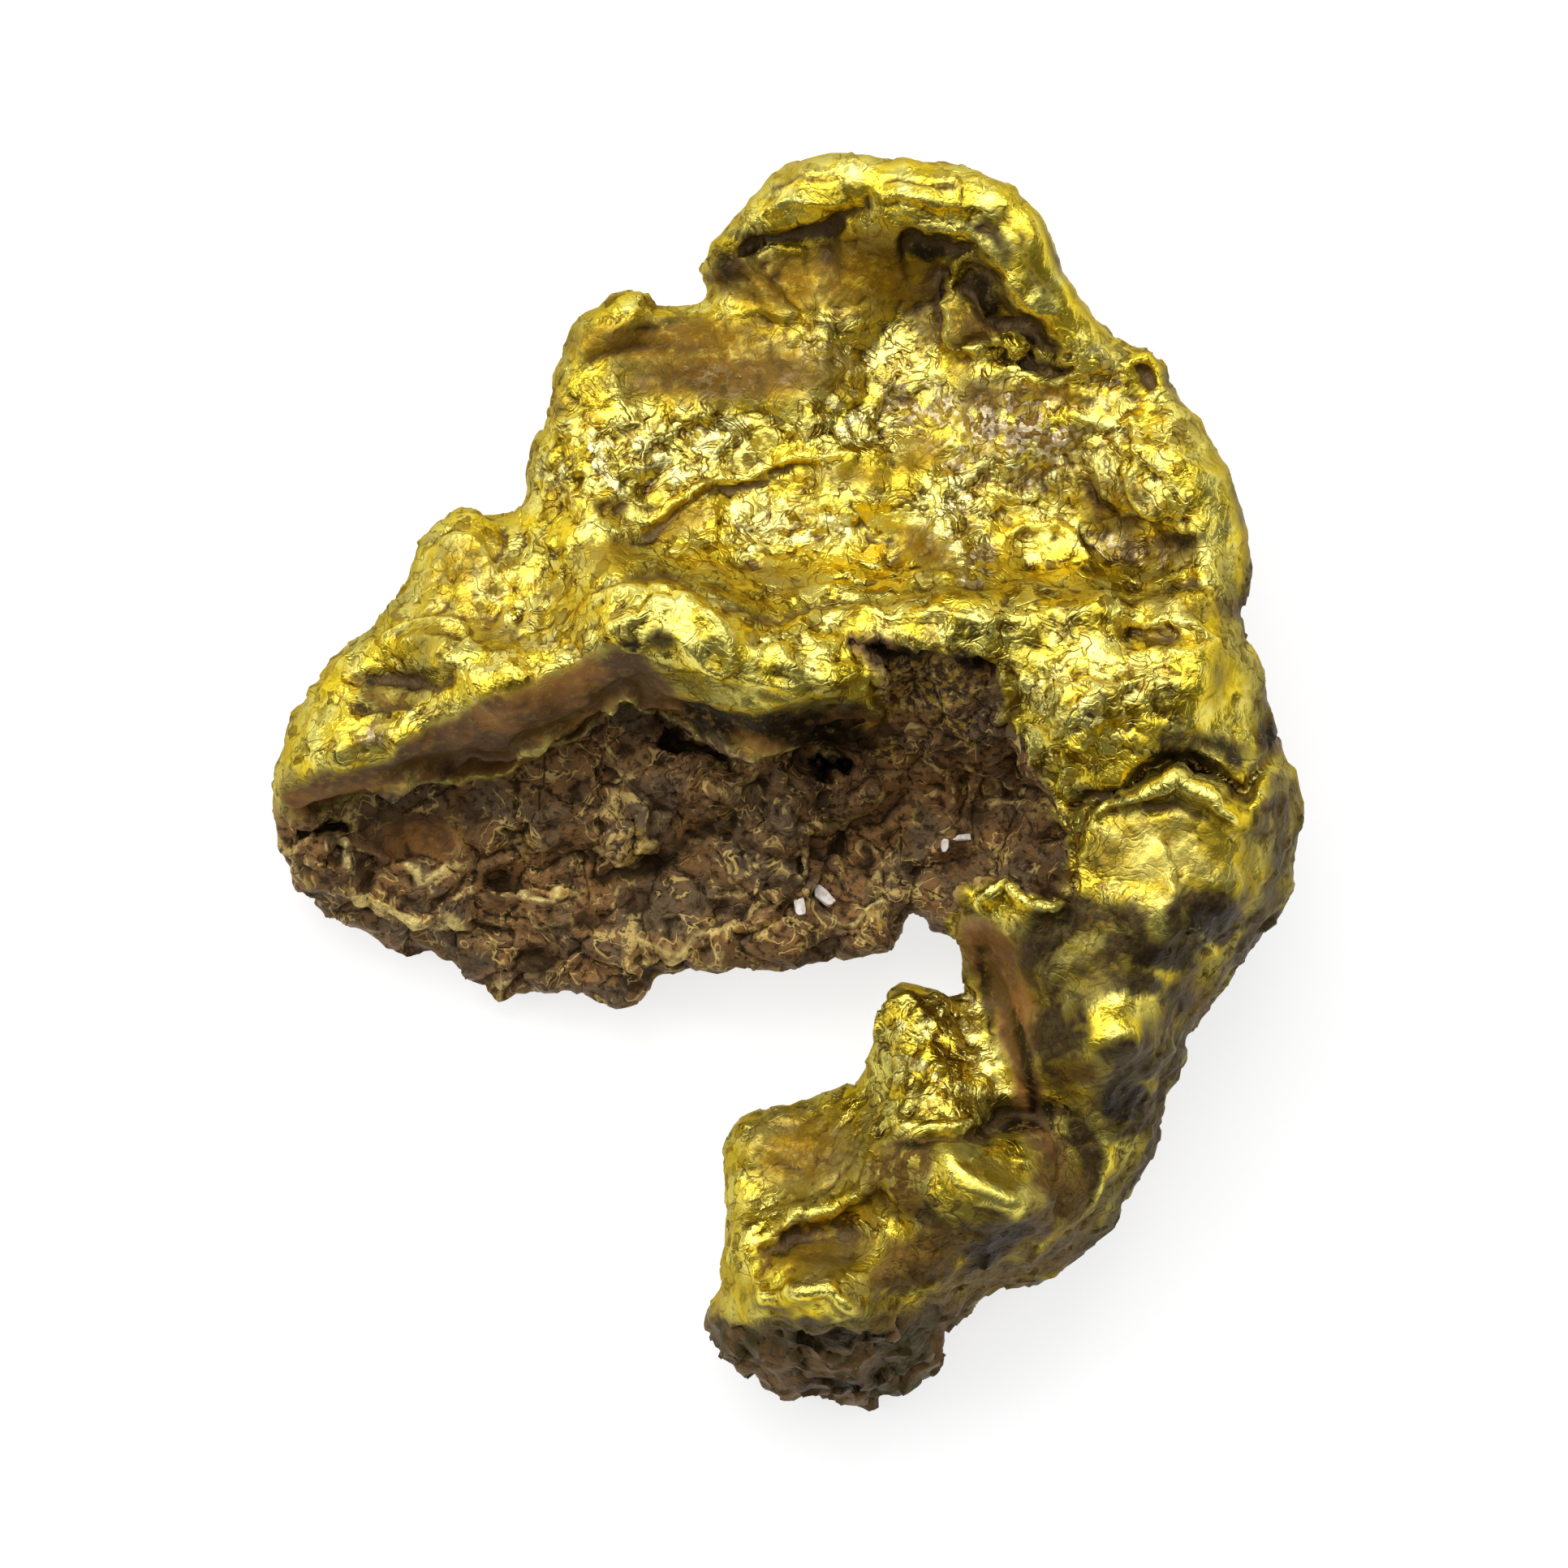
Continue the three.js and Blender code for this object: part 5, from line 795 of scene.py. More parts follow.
# The relief that stands on the skin, as sizes across and rises, in millimetres.
BLOCK_SIZE, BLOCK_RISE = 0.75, 0.13
CHIP_SIZE, CHIP_RISE, HOLLOW_CHIP_RISE, TIP_CHIP_RISE = 0.27, 0.035, 0.03, 0.05
PEBBLE_SIZE, PEBBLE_RISE = 0.2, 0.07
FOIL_RISE = 0.07
BROAD_FOLD_SIZE, BROAD_FOLD_RISE = 0.8, 0.2
FINE_FOLD_SIZE, FINE_FOLD_RISE, TIP_FOLD_RISE = 0.36, 0.12, 0.06
LEAST_FOLD_SIZE, LEAST_FOLD_RISE, TIP_LEAST_FOLD_RISE = 0.2, 0.05, 0.03
GAP_DEPTH, GAP_WIDTH = 0.07, 0.06
CALM_IN_POCKET = 0.8
CALM_BY_POLISH = 0.7
CREASE_DEPTH = 0.04
DIP_DEPTH = 0.3


def folded(cloud):
    """Sharp crests along the places where soft noise passes through zero: 0.3 less its size."""
    return 0.3 - np.abs(cloud)



normals = normals_of(points, faces)
plan = uneven(points)
hollow = area(HOLLOW, plan, 0.06) * np.maximum(
    smoothstep(normals[:, 2], -0.5, 0.1), smoothstep(points[:, 2], 1.0, 1.4)
)
near_hollow = smoothstep(inside_of(on_part(HOLLOW), plan), -0.5, -0.3)
undercut = near_hollow * smoothstep(-normals[:, 2], -0.35, 0.0) * smoothstep(points[:, 2], 1.0, 1.4)
smooth_stain = np.zeros(len(points))
for ring in (CLIFF, ARM_FLANK):
    smooth_stain = np.maximum(smooth_stain, area(ring, plan, 0.1))
smooth_stain = np.maximum(smooth_stain, undercut) * (1 - hollow)
tip = area(TIP, plan, 0.15)
polish = np.clip(np.maximum(washes(POLISHED, points), 0.8 * smooth_stain) - hollow - tip, 0, 1)
pebbled = washes(PEBBLED, points) * (1 - hollow)
drift = np.stack([clouds(points, 0.5, salt) for salt in (31, 32, 33)], -1)
drifted = points + 0.12 * drift
_, block_edge, block = grains(points + 0.25 * drift, BLOCK_SIZE, 3)
_, _, chip = grains(drifted, CHIP_SIZE, 6)
pebble, _, pebble_level = grains(drifted, PEBBLE_SIZE, 9)
foil = np.abs(clouds(drifted, 0.5, 17)) - np.abs(clouds(drifted, 0.33, 19))
broad_folds = clouds(points + 0.3 * drift, BROAD_FOLD_SIZE, 23)
fine_folds = clouds(points + 0.25 * drift, FINE_FOLD_SIZE, 29)
least_folds = clouds(drifted, LEAST_FOLD_SIZE, 37)
gaps = np.exp(-((block_edge / GAP_WIDTH) ** 2))
rise_hollow = BLOCK_RISE * block + BROAD_FOLD_RISE * folded(broad_folds) + FINE_FOLD_RISE * folded(fine_folds)
rise_hollow += LEAST_FOLD_RISE * folded(least_folds) + HOLLOW_CHIP_RISE * chip - GAP_DEPTH * gaps
smooth_pocket = washes(SMOOTH_POCKET, plan) * hollow
rise_hollow *= 1 - CALM_IN_POCKET * smooth_pocket
wires = np.maximum(np.exp(-((broad_folds / 0.09) ** 2)), 0.8 * np.exp(-((fine_folds / 0.14) ** 2)))
wires *= hollow * smoothstep(clouds(points, 0.7, 61), -0.1, 0.4)
pebble_dome = 0.4 - pebble**2 * 1.6 + 0.5 * pebble_level
rise_ground = CHIP_RISE * chip + FOIL_RISE * foil + PEBBLE_RISE * pebbled * pebble_dome
rise_tip = TIP_CHIP_RISE * chip + TIP_FOLD_RISE * folded(fine_folds)
rise_tip += TIP_LEAST_FOLD_RISE * folded(least_folds)
rise_ground += tip * rise_tip
rise = hollow * rise_hollow + (1 - hollow) * (1 - CALM_BY_POLISH * polish) * rise_ground
rise += 0.03 * clouds(points, 0.7, 11) + 0.014 * clouds(points, 0.25, 13) + 0.006 * clouds(points, 0.13, 14)
fine_rise, gleam, dirt = traces(FINE_LINES, plan)
upward = smoothstep(normals[:, 2], -0.1, 0.3)
points = points + normals * (rise + fine_rise * upward)[:, None]
points[:, 2] = np.maximum(points[:, 2], 0)
broad_normals = normals
normals = normals_of(points, faces)

# How far each place lies below the skin round it, closely and widely: the folds are painted darker by it,
# partly dirt and partly painted shade.
crease = ((neighbour_mean(points, faces, 3) - points) * normals).sum(1)
dip = ((neighbour_mean(points, faces, 60) - points) * normals).sum(1)
rough_stain = np.maximum(hollow, area(JAW, plan, 0.1))
smooth_stain = np.maximum(smooth_stain, smooth_pocket)
blots = 0.25 * clouds(drifted, 0.4, 51) + 0.15 * clouds(drifted, 0.16, 53)
patches = smoothstep(washes(STAINS, points) + blots, 0.2, 0.75)
olive = smoothstep(washes(OLIVES, points) + blots, 0.2, 0.75)
dark = smoothstep(washes(DARKS, plan) + blots, 0.25, 0.75)
bare = smoothstep(washes(BARE, plan) + blots, 0.25, 0.85)
# Painted shade: steep sides are painted darker olive, fully where they face away from the main light and half
# where they face it.
steep = smoothstep(-broad_normals[:, 2], -0.75, -0.25)
shaded_side = 0.5 + 0.5 * smoothstep(-broad_normals[:, 1] + 0.4 * broad_normals[:, 0], -0.4, 0.5)
flank = steep * shaded_side


def add_piece(name, points, faces):
    """Makes a smooth-shaded mesh object of points in millimetres and faces of equal size."""
    mesh = bpy.data.meshes.new(name)
    mesh.vertices.add(len(points))
    mesh.vertices.foreach_set("co", (points * MM).ravel())
    mesh.loops.add(faces.size)
    mesh.loops.foreach_set("vertex_index", faces.ravel())
    mesh.polygons.add(len(faces))
    mesh.polygons.foreach_set("loop_start", np.arange(len(faces)) * faces.shape[1])
    mesh.update(calc_edges=True)
    mesh.validate()
    mesh.polygons.foreach_set("use_smooth", np.ones(len(faces), bool))
    piece = bpy.data.objects.new(name, mesh)
    bpy.context.collection.objects.link(piece)
    return piece


def paint(piece, **coats):
    """Stores one number for each point of a piece under each coat's name."""
    for name, values in coats.items():
        coat = piece.data.attributes.new(name, "FLOAT", "POINT")
        coat.data.foreach_set("value", np.clip(values, 0, 1).astype(np.float32))


def thin_out(piece, most):
    """Merges the triangles of the piece's flattest places until no more than the most are left."""
    merge = piece.modifiers.new("thin_out", "DECIMATE")
    merge.ratio = most / (2 * len(piece.data.polygons))
    merged = bpy.data.meshes.new_from_object(piece.evaluated_get(bpy.context.evaluated_depsgraph_get()))
    piece.modifiers.remove(merge)
    full, piece.data = piece.data, merged
    bpy.data.meshes.remove(full)
    merged.name = piece.name


nugget = add_piece("gold_nugget", points, faces)
paint(
    nugget,
    rough_stain=rough_stain,
    smooth_stain=smooth_stain,
    patches=patches,
    amber=washes(AMBERS, points),
    pale=washes(PALES, points),
    olive=olive,
    dark=dark,
    bare=bare,
    pebbled=pebbled,
    polish=polish,
    gleam=gleam * upward,
    dirt=dirt * upward,
    wires=wires,
    tip=tip,
    crease=0.5 + crease / CREASE_DEPTH,
    dip=0.5 + dip / DIP_DEPTH,
    flank=flank,
)
thin_out(nugget, MOST_TRIANGLES)
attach(nugget, "root")
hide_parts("nugget")

GOLD = (0.97, 0.74, 0.06, 1)
LEMON_GOLD = (1.0, 0.88, 0.2, 1)
PALE_LEMON = (1.0, 0.93, 0.42, 1)
AMBER_GOLD = (0.2, 0.088, 0.003, 1)
# Seam brown: the colour of painted shade in seams and creases, and of brown curls on the open grain.
SEAM_BROWN = (0.13, 0.07, 0.014, 1)
STAIN_BROWN = (0.18, 0.1, 0.018, 1)
OLIVE_GOLD = (0.07, 0.053, 0.018, 1)
PALE_CRUST = (0.68, 0.56, 0.38, 1)
RUST = (0.32, 0.135, 0.035, 1)
IRON_BROWN = (0.265, 0.138, 0.052, 1)
GREY_BROWN = (0.15, 0.1, 0.055, 1)
TIP_BROWN = (0.19, 0.105, 0.042, 1)
BLACK_BROWN = (0.05, 0.027, 0.014, 1)
TAN_EDGE = (0.72, 0.52, 0.17, 1)
# Straw: the painted highlight on worn edges in the stain.
STRAW = (0.85, 0.66, 0.24, 1)
OCHRE = (0.48, 0.28, 0.03, 1)
CLIFF_BROWN = (0.34, 0.155, 0.043, 1)
CLIFF_SHADE = (0.12, 0.062, 0.028, 1)
# Near black for painted shade in the dark spots and in the hollow's creases.
DARK_DIRT = (0.018, 0.011, 0.006, 1)


class Finish:
    """A node material that is built up by naming each step's inputs."""

    def __init__(self, name):
        self.material = bpy.data.materials.new(name)
        self.material.use_nodes = True
        self.tree = self.material.node_tree
        self.shader = self.tree.nodes["Principled BSDF"]
        self.place = self.tree.nodes.new("ShaderNodeTexCoord").outputs["Object"]

    def join(self, value, socket):
        """Links another step's output to a socket, or sets the socket to a plain value."""
        if isinstance(value, bpy.types.NodeSocket):
            self.tree.links.new(value, socket)
        else:
            socket.default_value = value

    def coat(self, name):
        """A number painted on the piece's points."""
        node = self.tree.nodes.new("ShaderNodeAttribute")
        node.attribute_name = name
        return node.outputs["Fac"]

    def sum(self, operation, *values):
        """One step of arithmetic."""
        node = self.tree.nodes.new("ShaderNodeMath")
        node.operation = operation
        for value, socket in zip(values, node.inputs):
            self.join(value, socket)
        return node.outputs[0]

    def arrows(self, operation, *values):
        """One step of arithmetic on vectors."""
        node = self.tree.nodes.new("ShaderNodeVectorMath")
        node.operation = operation
        sockets = [node.inputs[0], node.inputs["Scale"] if operation == "SCALE" else node.inputs[1]]
        for value, socket in zip(values, sockets):
            self.join(value, socket)
        return node.outputs[0]

    def ramp(self, value, start, end, low=0.0, high=1.0):
        """Carries start..end smoothly to low..high."""
        node = self.tree.nodes.new("ShaderNodeMapRange")
        node.interpolation_type = "SMOOTHSTEP"
        for socket, number in zip(node.inputs, (value, start, end, low, high)):
            self.join(number, socket)
        return node.outputs[0]

    def mix(self, share, one, other):
        """Blends two colours."""
        node = self.tree.nodes.new("ShaderNodeMix")
        node.data_type = "RGBA"
        for value, socket in ((share, node.inputs[0]), (one, node.inputs[6]), (other, node.inputs[7])):
            self.join(value, socket)
        return node.outputs[2]

    def noise(self, size, detail=2.0, roughness=0.5, distortion=0.0, output="Fac"):
        """Cloudy noise whose features are about the size given in millimetres."""
        node = self.tree.nodes.new("ShaderNodeTexNoise")
        self.join(self.place, node.inputs["Vector"])
        for name, value in (("Scale", 1 / (size * MM)), ("Detail", detail), ("Roughness", roughness)):
            node.inputs[name].default_value = value
        node.inputs["Distortion"].default_value = distortion
        return node.outputs[output]

    def astray(self, size, share):
        """Places pushed about by noise of the size given, by a share of that size."""
        push = self.arrows("SCALE", self.noise(size, output="Color"), share * size * MM)
        return self.arrows("ADD", self.place, push)

    def mosaic(self, size, place, feature="F1"):
        """Irregular cells of about the size given in millimetres."""
        node = self.tree.nodes.new("ShaderNodeTexVoronoi")
        node.feature = feature
        self.join(place, node.inputs["Vector"])
        node.inputs["Scale"].default_value = 1 / (size * MM)
        return node

    def part_of(self, colour, letter):
        """One channel of a colour."""
        node = self.tree.nodes.new("ShaderNodeSeparateColor")
        self.join(colour, node.inputs[0])
        return node.outputs["RGB".index(letter)]

    def facets(self, cells, tilt, under):
        """Turns the shading of each cell by its own tilt, as on a face of a tiny crystal."""
        lean = self.arrows("SUBTRACT", cells.outputs["Color"], (0.5, 0.5, 0.5))
        return self.arrows("NORMALIZE", self.arrows("ADD", under, self.arrows("SCALE", lean, tilt)))

    def bump(self, height, depth, under=None):
        """Raises the shaded surface by height times depth in millimetres, on top of an earlier bump."""
        node = self.tree.nodes.new("ShaderNodeBump")
        self.join(height, node.inputs["Height"])
        node.inputs["Distance"].default_value = depth * MM
        if under is not None:
            self.join(under, node.inputs["Normal"])
        return node.outputs["Normal"]


gold = Finish("native_gold")


def product(first, *others):
    """All the values multiplied together."""
    for other in others:
        first = gold.sum("MULTIPLY", first, other)
    return first


smoothed = gold.sum("MAXIMUM", gold.coat("polish"), product(gold.coat("amber"), 0.7))
open_grain = gold.sum("SUBTRACT", 1.0, smoothed)
flakes = gold.noise(0.5, 2, 0.6, 0.4)
specks = gold.noise(0.1, 3, 0.6)
clouded = gold.noise(0.9, 3, 0.65, 0.6)
astray = gold.astray(0.14, 1.1)
cells = gold.mosaic(0.16, astray)
seams = gold.ramp(gold.mosaic(0.16, astray, "DISTANCE_TO_EDGE").outputs["Distance"], 0.0, 0.16, 1.0, 0.0)
small_cells = gold.mosaic(0.07, astray)
curls = gold.sum("ABSOLUTE", gold.sum("SUBTRACT", gold.noise(0.32, 2, 0.5, 0.8), 0.5))
chance = gold.part_of(cells.outputs["Color"], "R")
small_chance = gold.part_of(small_cells.outputs["Color"], "G")
crease = gold.coat("crease")

colour = gold.mix(gold.ramp(flakes, 0.4, 0.62), GOLD, LEMON_GOLD)
colour = gold.mix(product(open_grain, gold.ramp(chance, 0.6, 0.95, 0.0, 0.7)), colour, AMBER_GOLD)
# Painted highlight: some pebbles in the pebbled places are painted pale lemon.
colour = gold.mix(product(gold.coat("pebbled"), gold.ramp(chance, 0.5, 0.15, 0.0, 0.8)), colour, PALE_LEMON)
amber = product(gold.coat("amber"), gold.ramp(specks, 0.7, 0.45, 0.75, 1.0))
colour = gold.mix(amber, colour, AMBER_GOLD)
# Painted shade: the seams between the pebbles are painted dark brown, together with brown curls on the open
# grain.
seams = product(seams, gold.coat("pebbled"), gold.ramp(specks, 0.35, 0.6, 0.2, 0.75))
brown_curls = product(gold.ramp(curls, 0.03, 0.0), open_grain, gold.ramp(flakes, 0.35, 0.55, 0.15, 0.85))
seams = gold.sum("MAXIMUM", seams, brown_curls)
colour = gold.mix(seams, colour, SEAM_BROWN)
crust = gold.mix(gold.ramp(small_chance, 0.15, 0.6), PALE_CRUST, STAIN_BROWN)
pale = product(gold.coat("pale"), gold.ramp(chance, 0.2, 0.4))
colour = gold.mix(pale, colour, crust)
# Painted shade, with tarnish: the olive washes and the darkened steep sides are painted dark olive.
olive = gold.sum("MAXIMUM", gold.coat("olive"), gold.coat("flank"))
olive = product(olive, gold.ramp(clouded, 0.35, 0.5, 0.75, 1.0))
colour = gold.mix(olive, colour, gold.mix(gold.ramp(specks, 0.4, 0.6), OLIVE_GOLD, BLACK_BROWN))
rough_stain = gold.sum("MAXIMUM", gold.coat("rough_stain"), gold.coat("tip"))
patches = product(gold.coat("patches"), gold.ramp(chance, 0.75, 0.5, 0.5, 1.0))
colour = gold.mix(patches, colour, gold.mix(gold.ramp(specks, 0.42, 0.6, 0.0, 0.5), STAIN_BROWN, BLACK_BROWN))
brown = gold.mix(gold.ramp(clouded, 0.38, 0.6), IRON_BROWN, GREY_BROWN)
brown = gold.mix(gold.ramp(flakes, 0.5, 0.7, 0.0, 0.3), brown, RUST)
black_flakes = gold.ramp(flakes, 0.42, 0.32, 0.0, 0.8)
blackened = gold.sum("MAXIMUM", gold.ramp(specks, 0.5, 0.62, 0.0, 0.85), black_flakes)
brown = gold.mix(blackened, brown, BLACK_BROWN)
bare = product(gold.coat("bare"), gold.ramp(specks, 0.55, 0.4))
brown = gold.mix(bare, brown, gold.mix(gold.ramp(small_chance, 0.3, 0.7), TAN_EDGE, OCHRE))
threads = product(gold.ramp(curls, 0.03, 0.008), gold.ramp(flakes, 0.46, 0.56))
wires = product(gold.coat("wires"), gold.ramp(specks, 0.35, 0.55))
wires = gold.sum("MAXIMUM", gold.ramp(wires, 0.3, 0.8, 0.0, 0.75), product(threads, 0.75))
wires = product(wires, gold.sum("SUBTRACT", 1.0, gold.coat("tip")))
brown = gold.mix(wires, brown, TAN_EDGE)
brown = gold.mix(gold.coat("tip"), brown, gold.mix(gold.ramp(clouded, 0.4, 0.6), TIP_BROWN, OLIVE_GOLD))
colour = gold.mix(rough_stain, colour, brown)
stained = gold.sum("MAXIMUM", rough_stain, patches)
cliff = gold.mix(gold.ramp(clouded, 0.35, 0.62), CLIFF_BROWN, CLIFF_SHADE)
colour = gold.mix(product(gold.coat("smooth_stain"), gold.ramp(specks, 0.65, 0.5, 0.85, 1.0)), colour, cliff)
dull = gold.sum("MAXIMUM", stained, gold.coat("smooth_stain"))
dull = gold.sum("MAXIMUM", dull, gold.sum("MAXIMUM", product(olive, 0.7), product(amber, 0.75)))
dull = gold.sum("MAXIMUM", dull, product(pale, 0.6))
# Painted shade, with dirt: the fine creases are painted brown along their length, on faces turned upward.
dirt = product(gold.ramp(gold.coat("dirt"), 0.3, 0.95), gold.ramp(specks, 0.6, 0.4, 0.5, 0.9))
colour = gold.mix(dirt, colour, SEAM_BROWN)
dull = gold.sum("MAXIMUM", dull, dirt)
# Painted highlight, with wear: the worn edges of the fine lines are painted lemon, or straw in the stain, on
# faces turned upward.
gleam = product(gold.ramp(gold.coat("gleam"), 0.1, 0.9), gold.ramp(specks, 0.35, 0.55, 0.25, 1.0))
colour = gold.mix(gleam, colour, gold.mix(rough_stain, LEMON_GOLD, STRAW))
# Painted shade: the dark spots are painted near black.
dark = product(gold.coat("dark"), gold.ramp(specks, 0.66, 0.52, 0.5, 1.0))
colour = gold.mix(dark, colour, DARK_DIRT)
dull = gold.sum("MAXIMUM", dull, dark)
gleam = product(gleam, gold.sum("SUBTRACT", 1.0, dark))
bright = gold.sum("MAXIMUM", product(gleam, gold.ramp(rough_stain, 0.0, 1.0, 1.0, 0.3)), product(bare, 0.3))
# Painted shade, with dirt: creases are darkened by how far they lie below the skin round them.
grime = gold.ramp(crease, 0.64, 1.0, 0.0, 0.85)
colour = gold.mix(grime, colour, gold.mix(rough_stain, SEAM_BROWN, DARK_DIRT))
# Painted shade, with dirt: broad folds are darkened the same way, except where an edge gleams or gold shows.
dirty_folds = gold.ramp(gold.coat("dip"), 0.62, 0.95, 0.0, 0.75)
shown = gold.sum("MAXIMUM", gleam, bare)
dirty_folds = product(dirty_folds, gold.ramp(specks, 0.7, 0.45, 0.4, 1.0), gold.sum("SUBTRACT", 1.0, shown))
colour = gold.mix(dirty_folds, colour, gold.mix(rough_stain, GREY_BROWN, BLACK_BROWN))
gold.join(colour, gold.shader.inputs["Base Color"])
shine = gold.sum("SUBTRACT", 1.0, product(dull, gold.sum("SUBTRACT", 1.0, bright)))
gold.join(gold.ramp(shine, 0.0, 1.0, 0.15, 1.0), gold.shader.inputs["Metallic"])
gold.join(gold.ramp(shine, 0.0, 1.0, 0.5, 0.32), gold.shader.inputs["Roughness"])
gold.shader.inputs["Specular IOR Level"].default_value = 0.25
gold.shader.inputs["Specular Tint"].default_value = (0.7, 0.56, 0.22, 1)
surface = gold.tree.nodes.new("ShaderNodeNewGeometry").outputs["Normal"]
surface = gold.facets(cells, product(open_grain, 0.22), surface)
surface = gold.facets(small_cells, product(open_grain, 0.17), surface)
curled = product(gold.ramp(curls, 0.0, 0.05, 0.0, 0.3), open_grain)
speckled = product(specks, gold.ramp(open_grain, 0.0, 1.0, 0.5, 1.0))
surface = gold.bump(gold.sum("ADD", speckled, curled), 0.025, surface)
gold.join(surface, gold.shader.inputs["Normal"])
nugget.data.materials.append(gold.material)

# The quartz grains.
# Four grains of white quartz sand, each a broken crystal with flat faces. They are loose, and lie caught in
# the hollow's floor.
QUARTZ = [
    (10.15, 11.05, (0.17, 0.09, 0.09), -40), (9.85, 11.15, (0.08, 0.13, 0.08), 10),
    (11.85, 10.32, (0.13, 0.05, 0.05), 5), (11.65, 10.42, (0.05, 0.09, 0.05), 0),
]
QUARTZ_FACES = 11
AROUND, ACROSS = 28, 16
FACING_UP = 0.3


def crystal(radii, turn, place, faces, seed):
    """A convex crystal: in each direction d its radius is the least of h / (d . n) over its flat faces,
    each with a normal n and a distance h from the middle. Poles are single points."""
    draw = np.random.default_rng(seed)
    face_normals = draw.normal(size=(faces, 3))
    face_normals /= np.linalg.norm(face_normals, axis=1, keepdims=True)
    face_normals = np.concatenate([face_normals, np.eye(3), -np.eye(3)])
    height = draw.uniform(0.75, 1.0, len(face_normals))
    polar = np.linspace(0, np.pi, ACROSS + 1)[1:-1, None]
    spin = (np.arange(AROUND) * 2 * np.pi / AROUND)[None, :]
    wide, tall = np.sin(polar), np.cos(polar)
    ball = np.stack([wide * np.cos(spin), wide * np.sin(spin), tall + 0 * spin], -1)
    ball = np.concatenate([[[0, 0, 1]], ball.reshape(-1, 3), [[0, 0, -1]]])
    radius = (height / np.maximum(ball @ face_normals.T, 1e-3)).min(1)
    body = ball * radius[:, None] * radii
    angle = np.radians(turn)
    c, s = np.cos(angle), np.sin(angle)
    return body @ np.array([[c, s, 0], [-s, c, 0], [0, 0, 1]]) + place


def ball_faces(start):
    """Faces of one crystal whose points begin at start: a fan at each pole and rows of four-sided faces
    between."""
    last = start + 1 + (ACROSS - 1) * AROUND
    made = []
    for j in range(AROUND):
        k = (j + 1) % AROUND
        made.append((start, start + 1 + j, start + 1 + k))
        made.append((last, last - AROUND + k, last - AROUND + j))
        for i in range(ACROSS - 2):
            row = start + 1 + i * AROUND
            made.append((row + j, row + AROUND + j, row + AROUND + k, row + k))
    return made


grain_points, grain_faces = [], []
open_points = points[normals[:, 2] > FACING_UP]
for seed, (x, y, radii, turn) in enumerate(QUARTZ):
    middle = on_part([x, y])
    ground = open_points[np.argmin(np.hypot(*(open_points[:, :2] - middle).T)), 2]
    grain_faces += ball_faces(sum(len(p) for p in grain_points))
    place = [*middle, ground + 0.5 * radii[2]]
    grain_points.append(crystal(np.array(radii), turn, place, QUARTZ_FACES, seed))
grain_mesh = bpy.data.meshes.new("quartz_grains")
grain_mesh.from_pydata(np.concatenate(grain_points) * MM, [], grain_faces)
quartz_grains = bpy.data.objects.new("quartz_grains", grain_mesh)
bpy.context.collection.objects.link(quartz_grains)
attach(quartz_grains, "root")

QUARTZ_WHITE = (0.9, 0.86, 0.8, 1)
QUARTZ_CREAM = (0.75, 0.62, 0.48, 1)
quartz = Finish("white_quartz")
quartz.join(quartz.mix(quartz.ramp(quartz.noise(0.08, 3), 0.45, 0.7), QUARTZ_WHITE, QUARTZ_CREAM),
            quartz.shader.inputs["Base Color"])
quartz.join(quartz.ramp(quartz.noise(0.03), 0.3, 0.7, 0.3, 0.6), quartz.shader.inputs["Roughness"])
quartz.join(quartz.bump(quartz.noise(0.04), 0.008), quartz.shader.inputs["Normal"])
grain_mesh.materials.append(quartz.material)

# The table and the light.
# A plain white table top that glows a little, as a light table does, so that shadows on it stay faint. The
# light comes from soft boxes: the main one beyond the top lobe, and a weaker one on each side.
FLOOR_SIZE = 1.2
TABLE_GREY = (0.38, 0.38, 0.38, 1)
TABLE_GLOW = 0.74
half = FLOOR_SIZE / 2
floor_mesh = bpy.data.meshes.new("table_top")
corners = [(-half, -half, 0), (half, -half, 0), (half, half, 0), (-half, half, 0)]
floor_mesh.from_pydata(corners, [], [(0, 1, 2, 3)])
table_top = bpy.data.objects.new("table_top", floor_mesh)
bpy.context.collection.objects.link(table_top)
pale = bpy.data.materials.new("pale_table")
pale.use_nodes = True
pale_shader = pale.node_tree.nodes["Principled BSDF"]
pale_shader.inputs["Base Color"].default_value = TABLE_GREY
pale_shader.inputs["Roughness"].default_value = 0.8
pale_shader.inputs["Emission Color"].default_value = (1, 1, 1, 1)
pale_shader.inputs["Emission Strength"].default_value = TABLE_GLOW
floor_mesh.materials.append(pale)


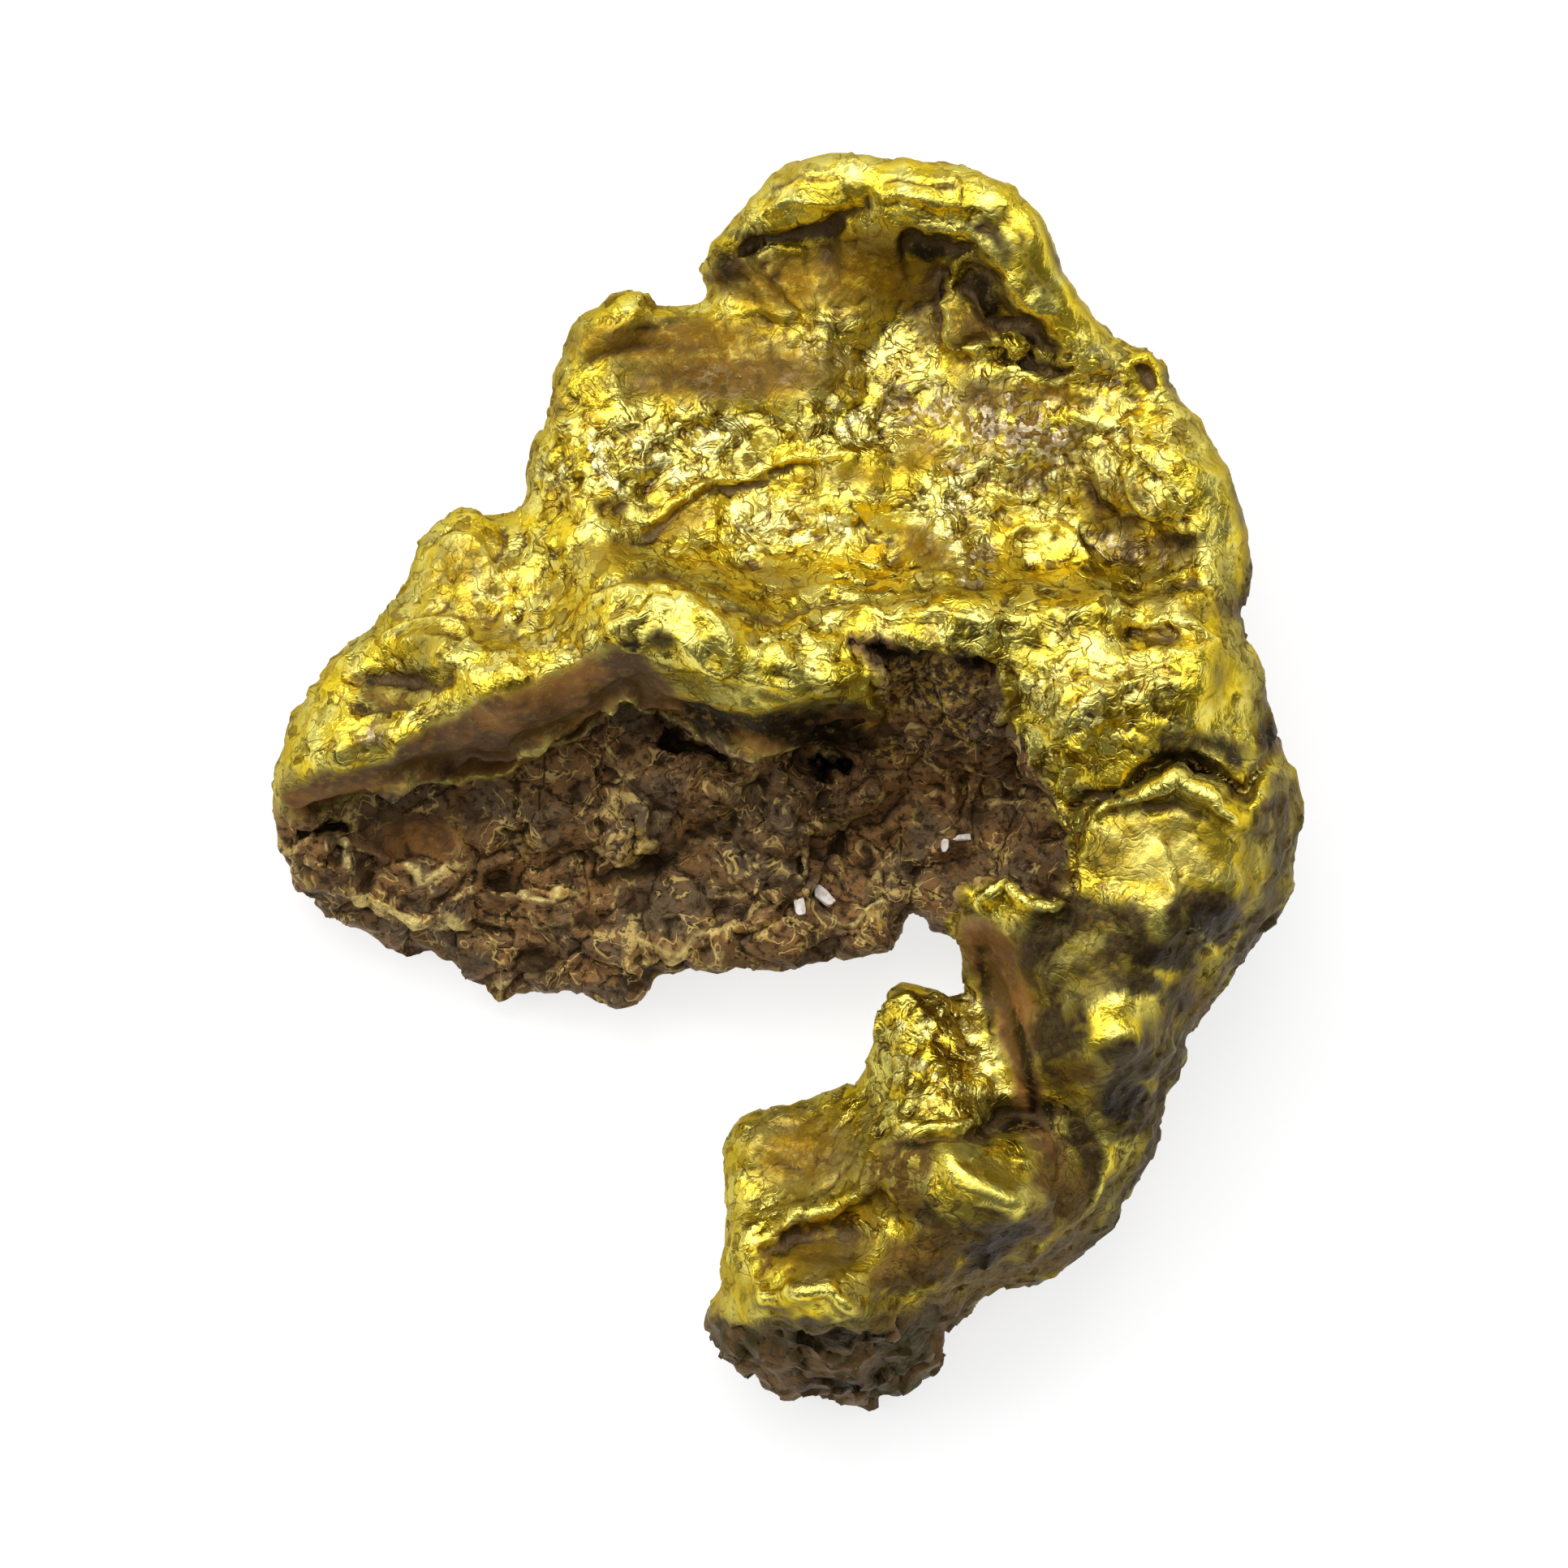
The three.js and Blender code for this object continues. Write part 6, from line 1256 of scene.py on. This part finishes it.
def soft_box(name, place, aim, width, depth, glow):
    """A rectangular area light at a place, turned to face the aim; glow is its brightness as seen."""
    lamp = bpy.data.lights.new(name, "AREA")
    lamp.shape = "RECTANGLE"
    lamp.size = width
    lamp.size_y = depth
    lamp.energy = glow * width * depth * np.pi
    box = bpy.data.objects.new(name, lamp)
    box.location = place
    box.rotation_euler = (Vector(place) - Vector(aim)).to_track_quat("Z", "Y").to_euler()
    bpy.context.collection.objects.link(box)
    return box


soft_box("beyond_the_top", (-0.03, 0.15, 0.2), (0, 0, 0), 0.24, 0.11, 4.2)
soft_box("left", (-0.2, 0.03, 0.16), (0, 0, 0), 0.1, 0.16, 2.2)
soft_box("right", (0.17, 0.08, 0.17), (0, 0, 0), 0.08, 0.12, 1.6)

# The room: bright beyond the top lobe and overhead, dark on the arm's side.
world = bpy.data.worlds.new("studio")
world.use_nodes = True
bpy.context.scene.world = world
room = world.node_tree
background = room.nodes["Background"]
direction = room.nodes.new("ShaderNodeTexCoord").outputs["Generated"]
facing = room.nodes.new("ShaderNodeVectorMath")
facing.operation = "DOT_PRODUCT"
room.links.new(direction, facing.inputs[0])
facing.inputs[1].default_value = Vector((-0.15, 0.4, 0.9)).normalized()
shade = room.nodes.new("ShaderNodeMapRange")
shade.interpolation_type = "SMOOTHSTEP"
room.links.new(facing.outputs["Value"], shade.inputs["Value"])
shade.inputs["From Min"].default_value = 0.35
shade.inputs["From Max"].default_value = 1.0
shade.inputs["To Min"].default_value = 0.08
shade.inputs["To Max"].default_value = 1.0
room.links.new(shade.outputs[0], background.inputs["Strength"])
background.inputs["Color"].default_value = (1, 1, 1, 1)

# The camera.
# It looks straight down on the middle of the nugget, through a long lens.
FRAME_WIDTH = 19.32 * MM
MID_HEIGHT = 2.5 * MM
camera_data = bpy.data.cameras.new("camera")
camera_data.lens = 500
camera_data.sensor_width = 36
camera_data.clip_start = 0.001
camera = bpy.data.objects.new("camera", camera_data)
camera.location = (0, 0, MID_HEIGHT + FRAME_WIDTH * SCALE * camera_data.lens / camera_data.sensor_width)
bpy.context.collection.objects.link(camera)
bpy.context.scene.camera = camera
bpy.context.scene.view_settings.view_transform = "Standard"
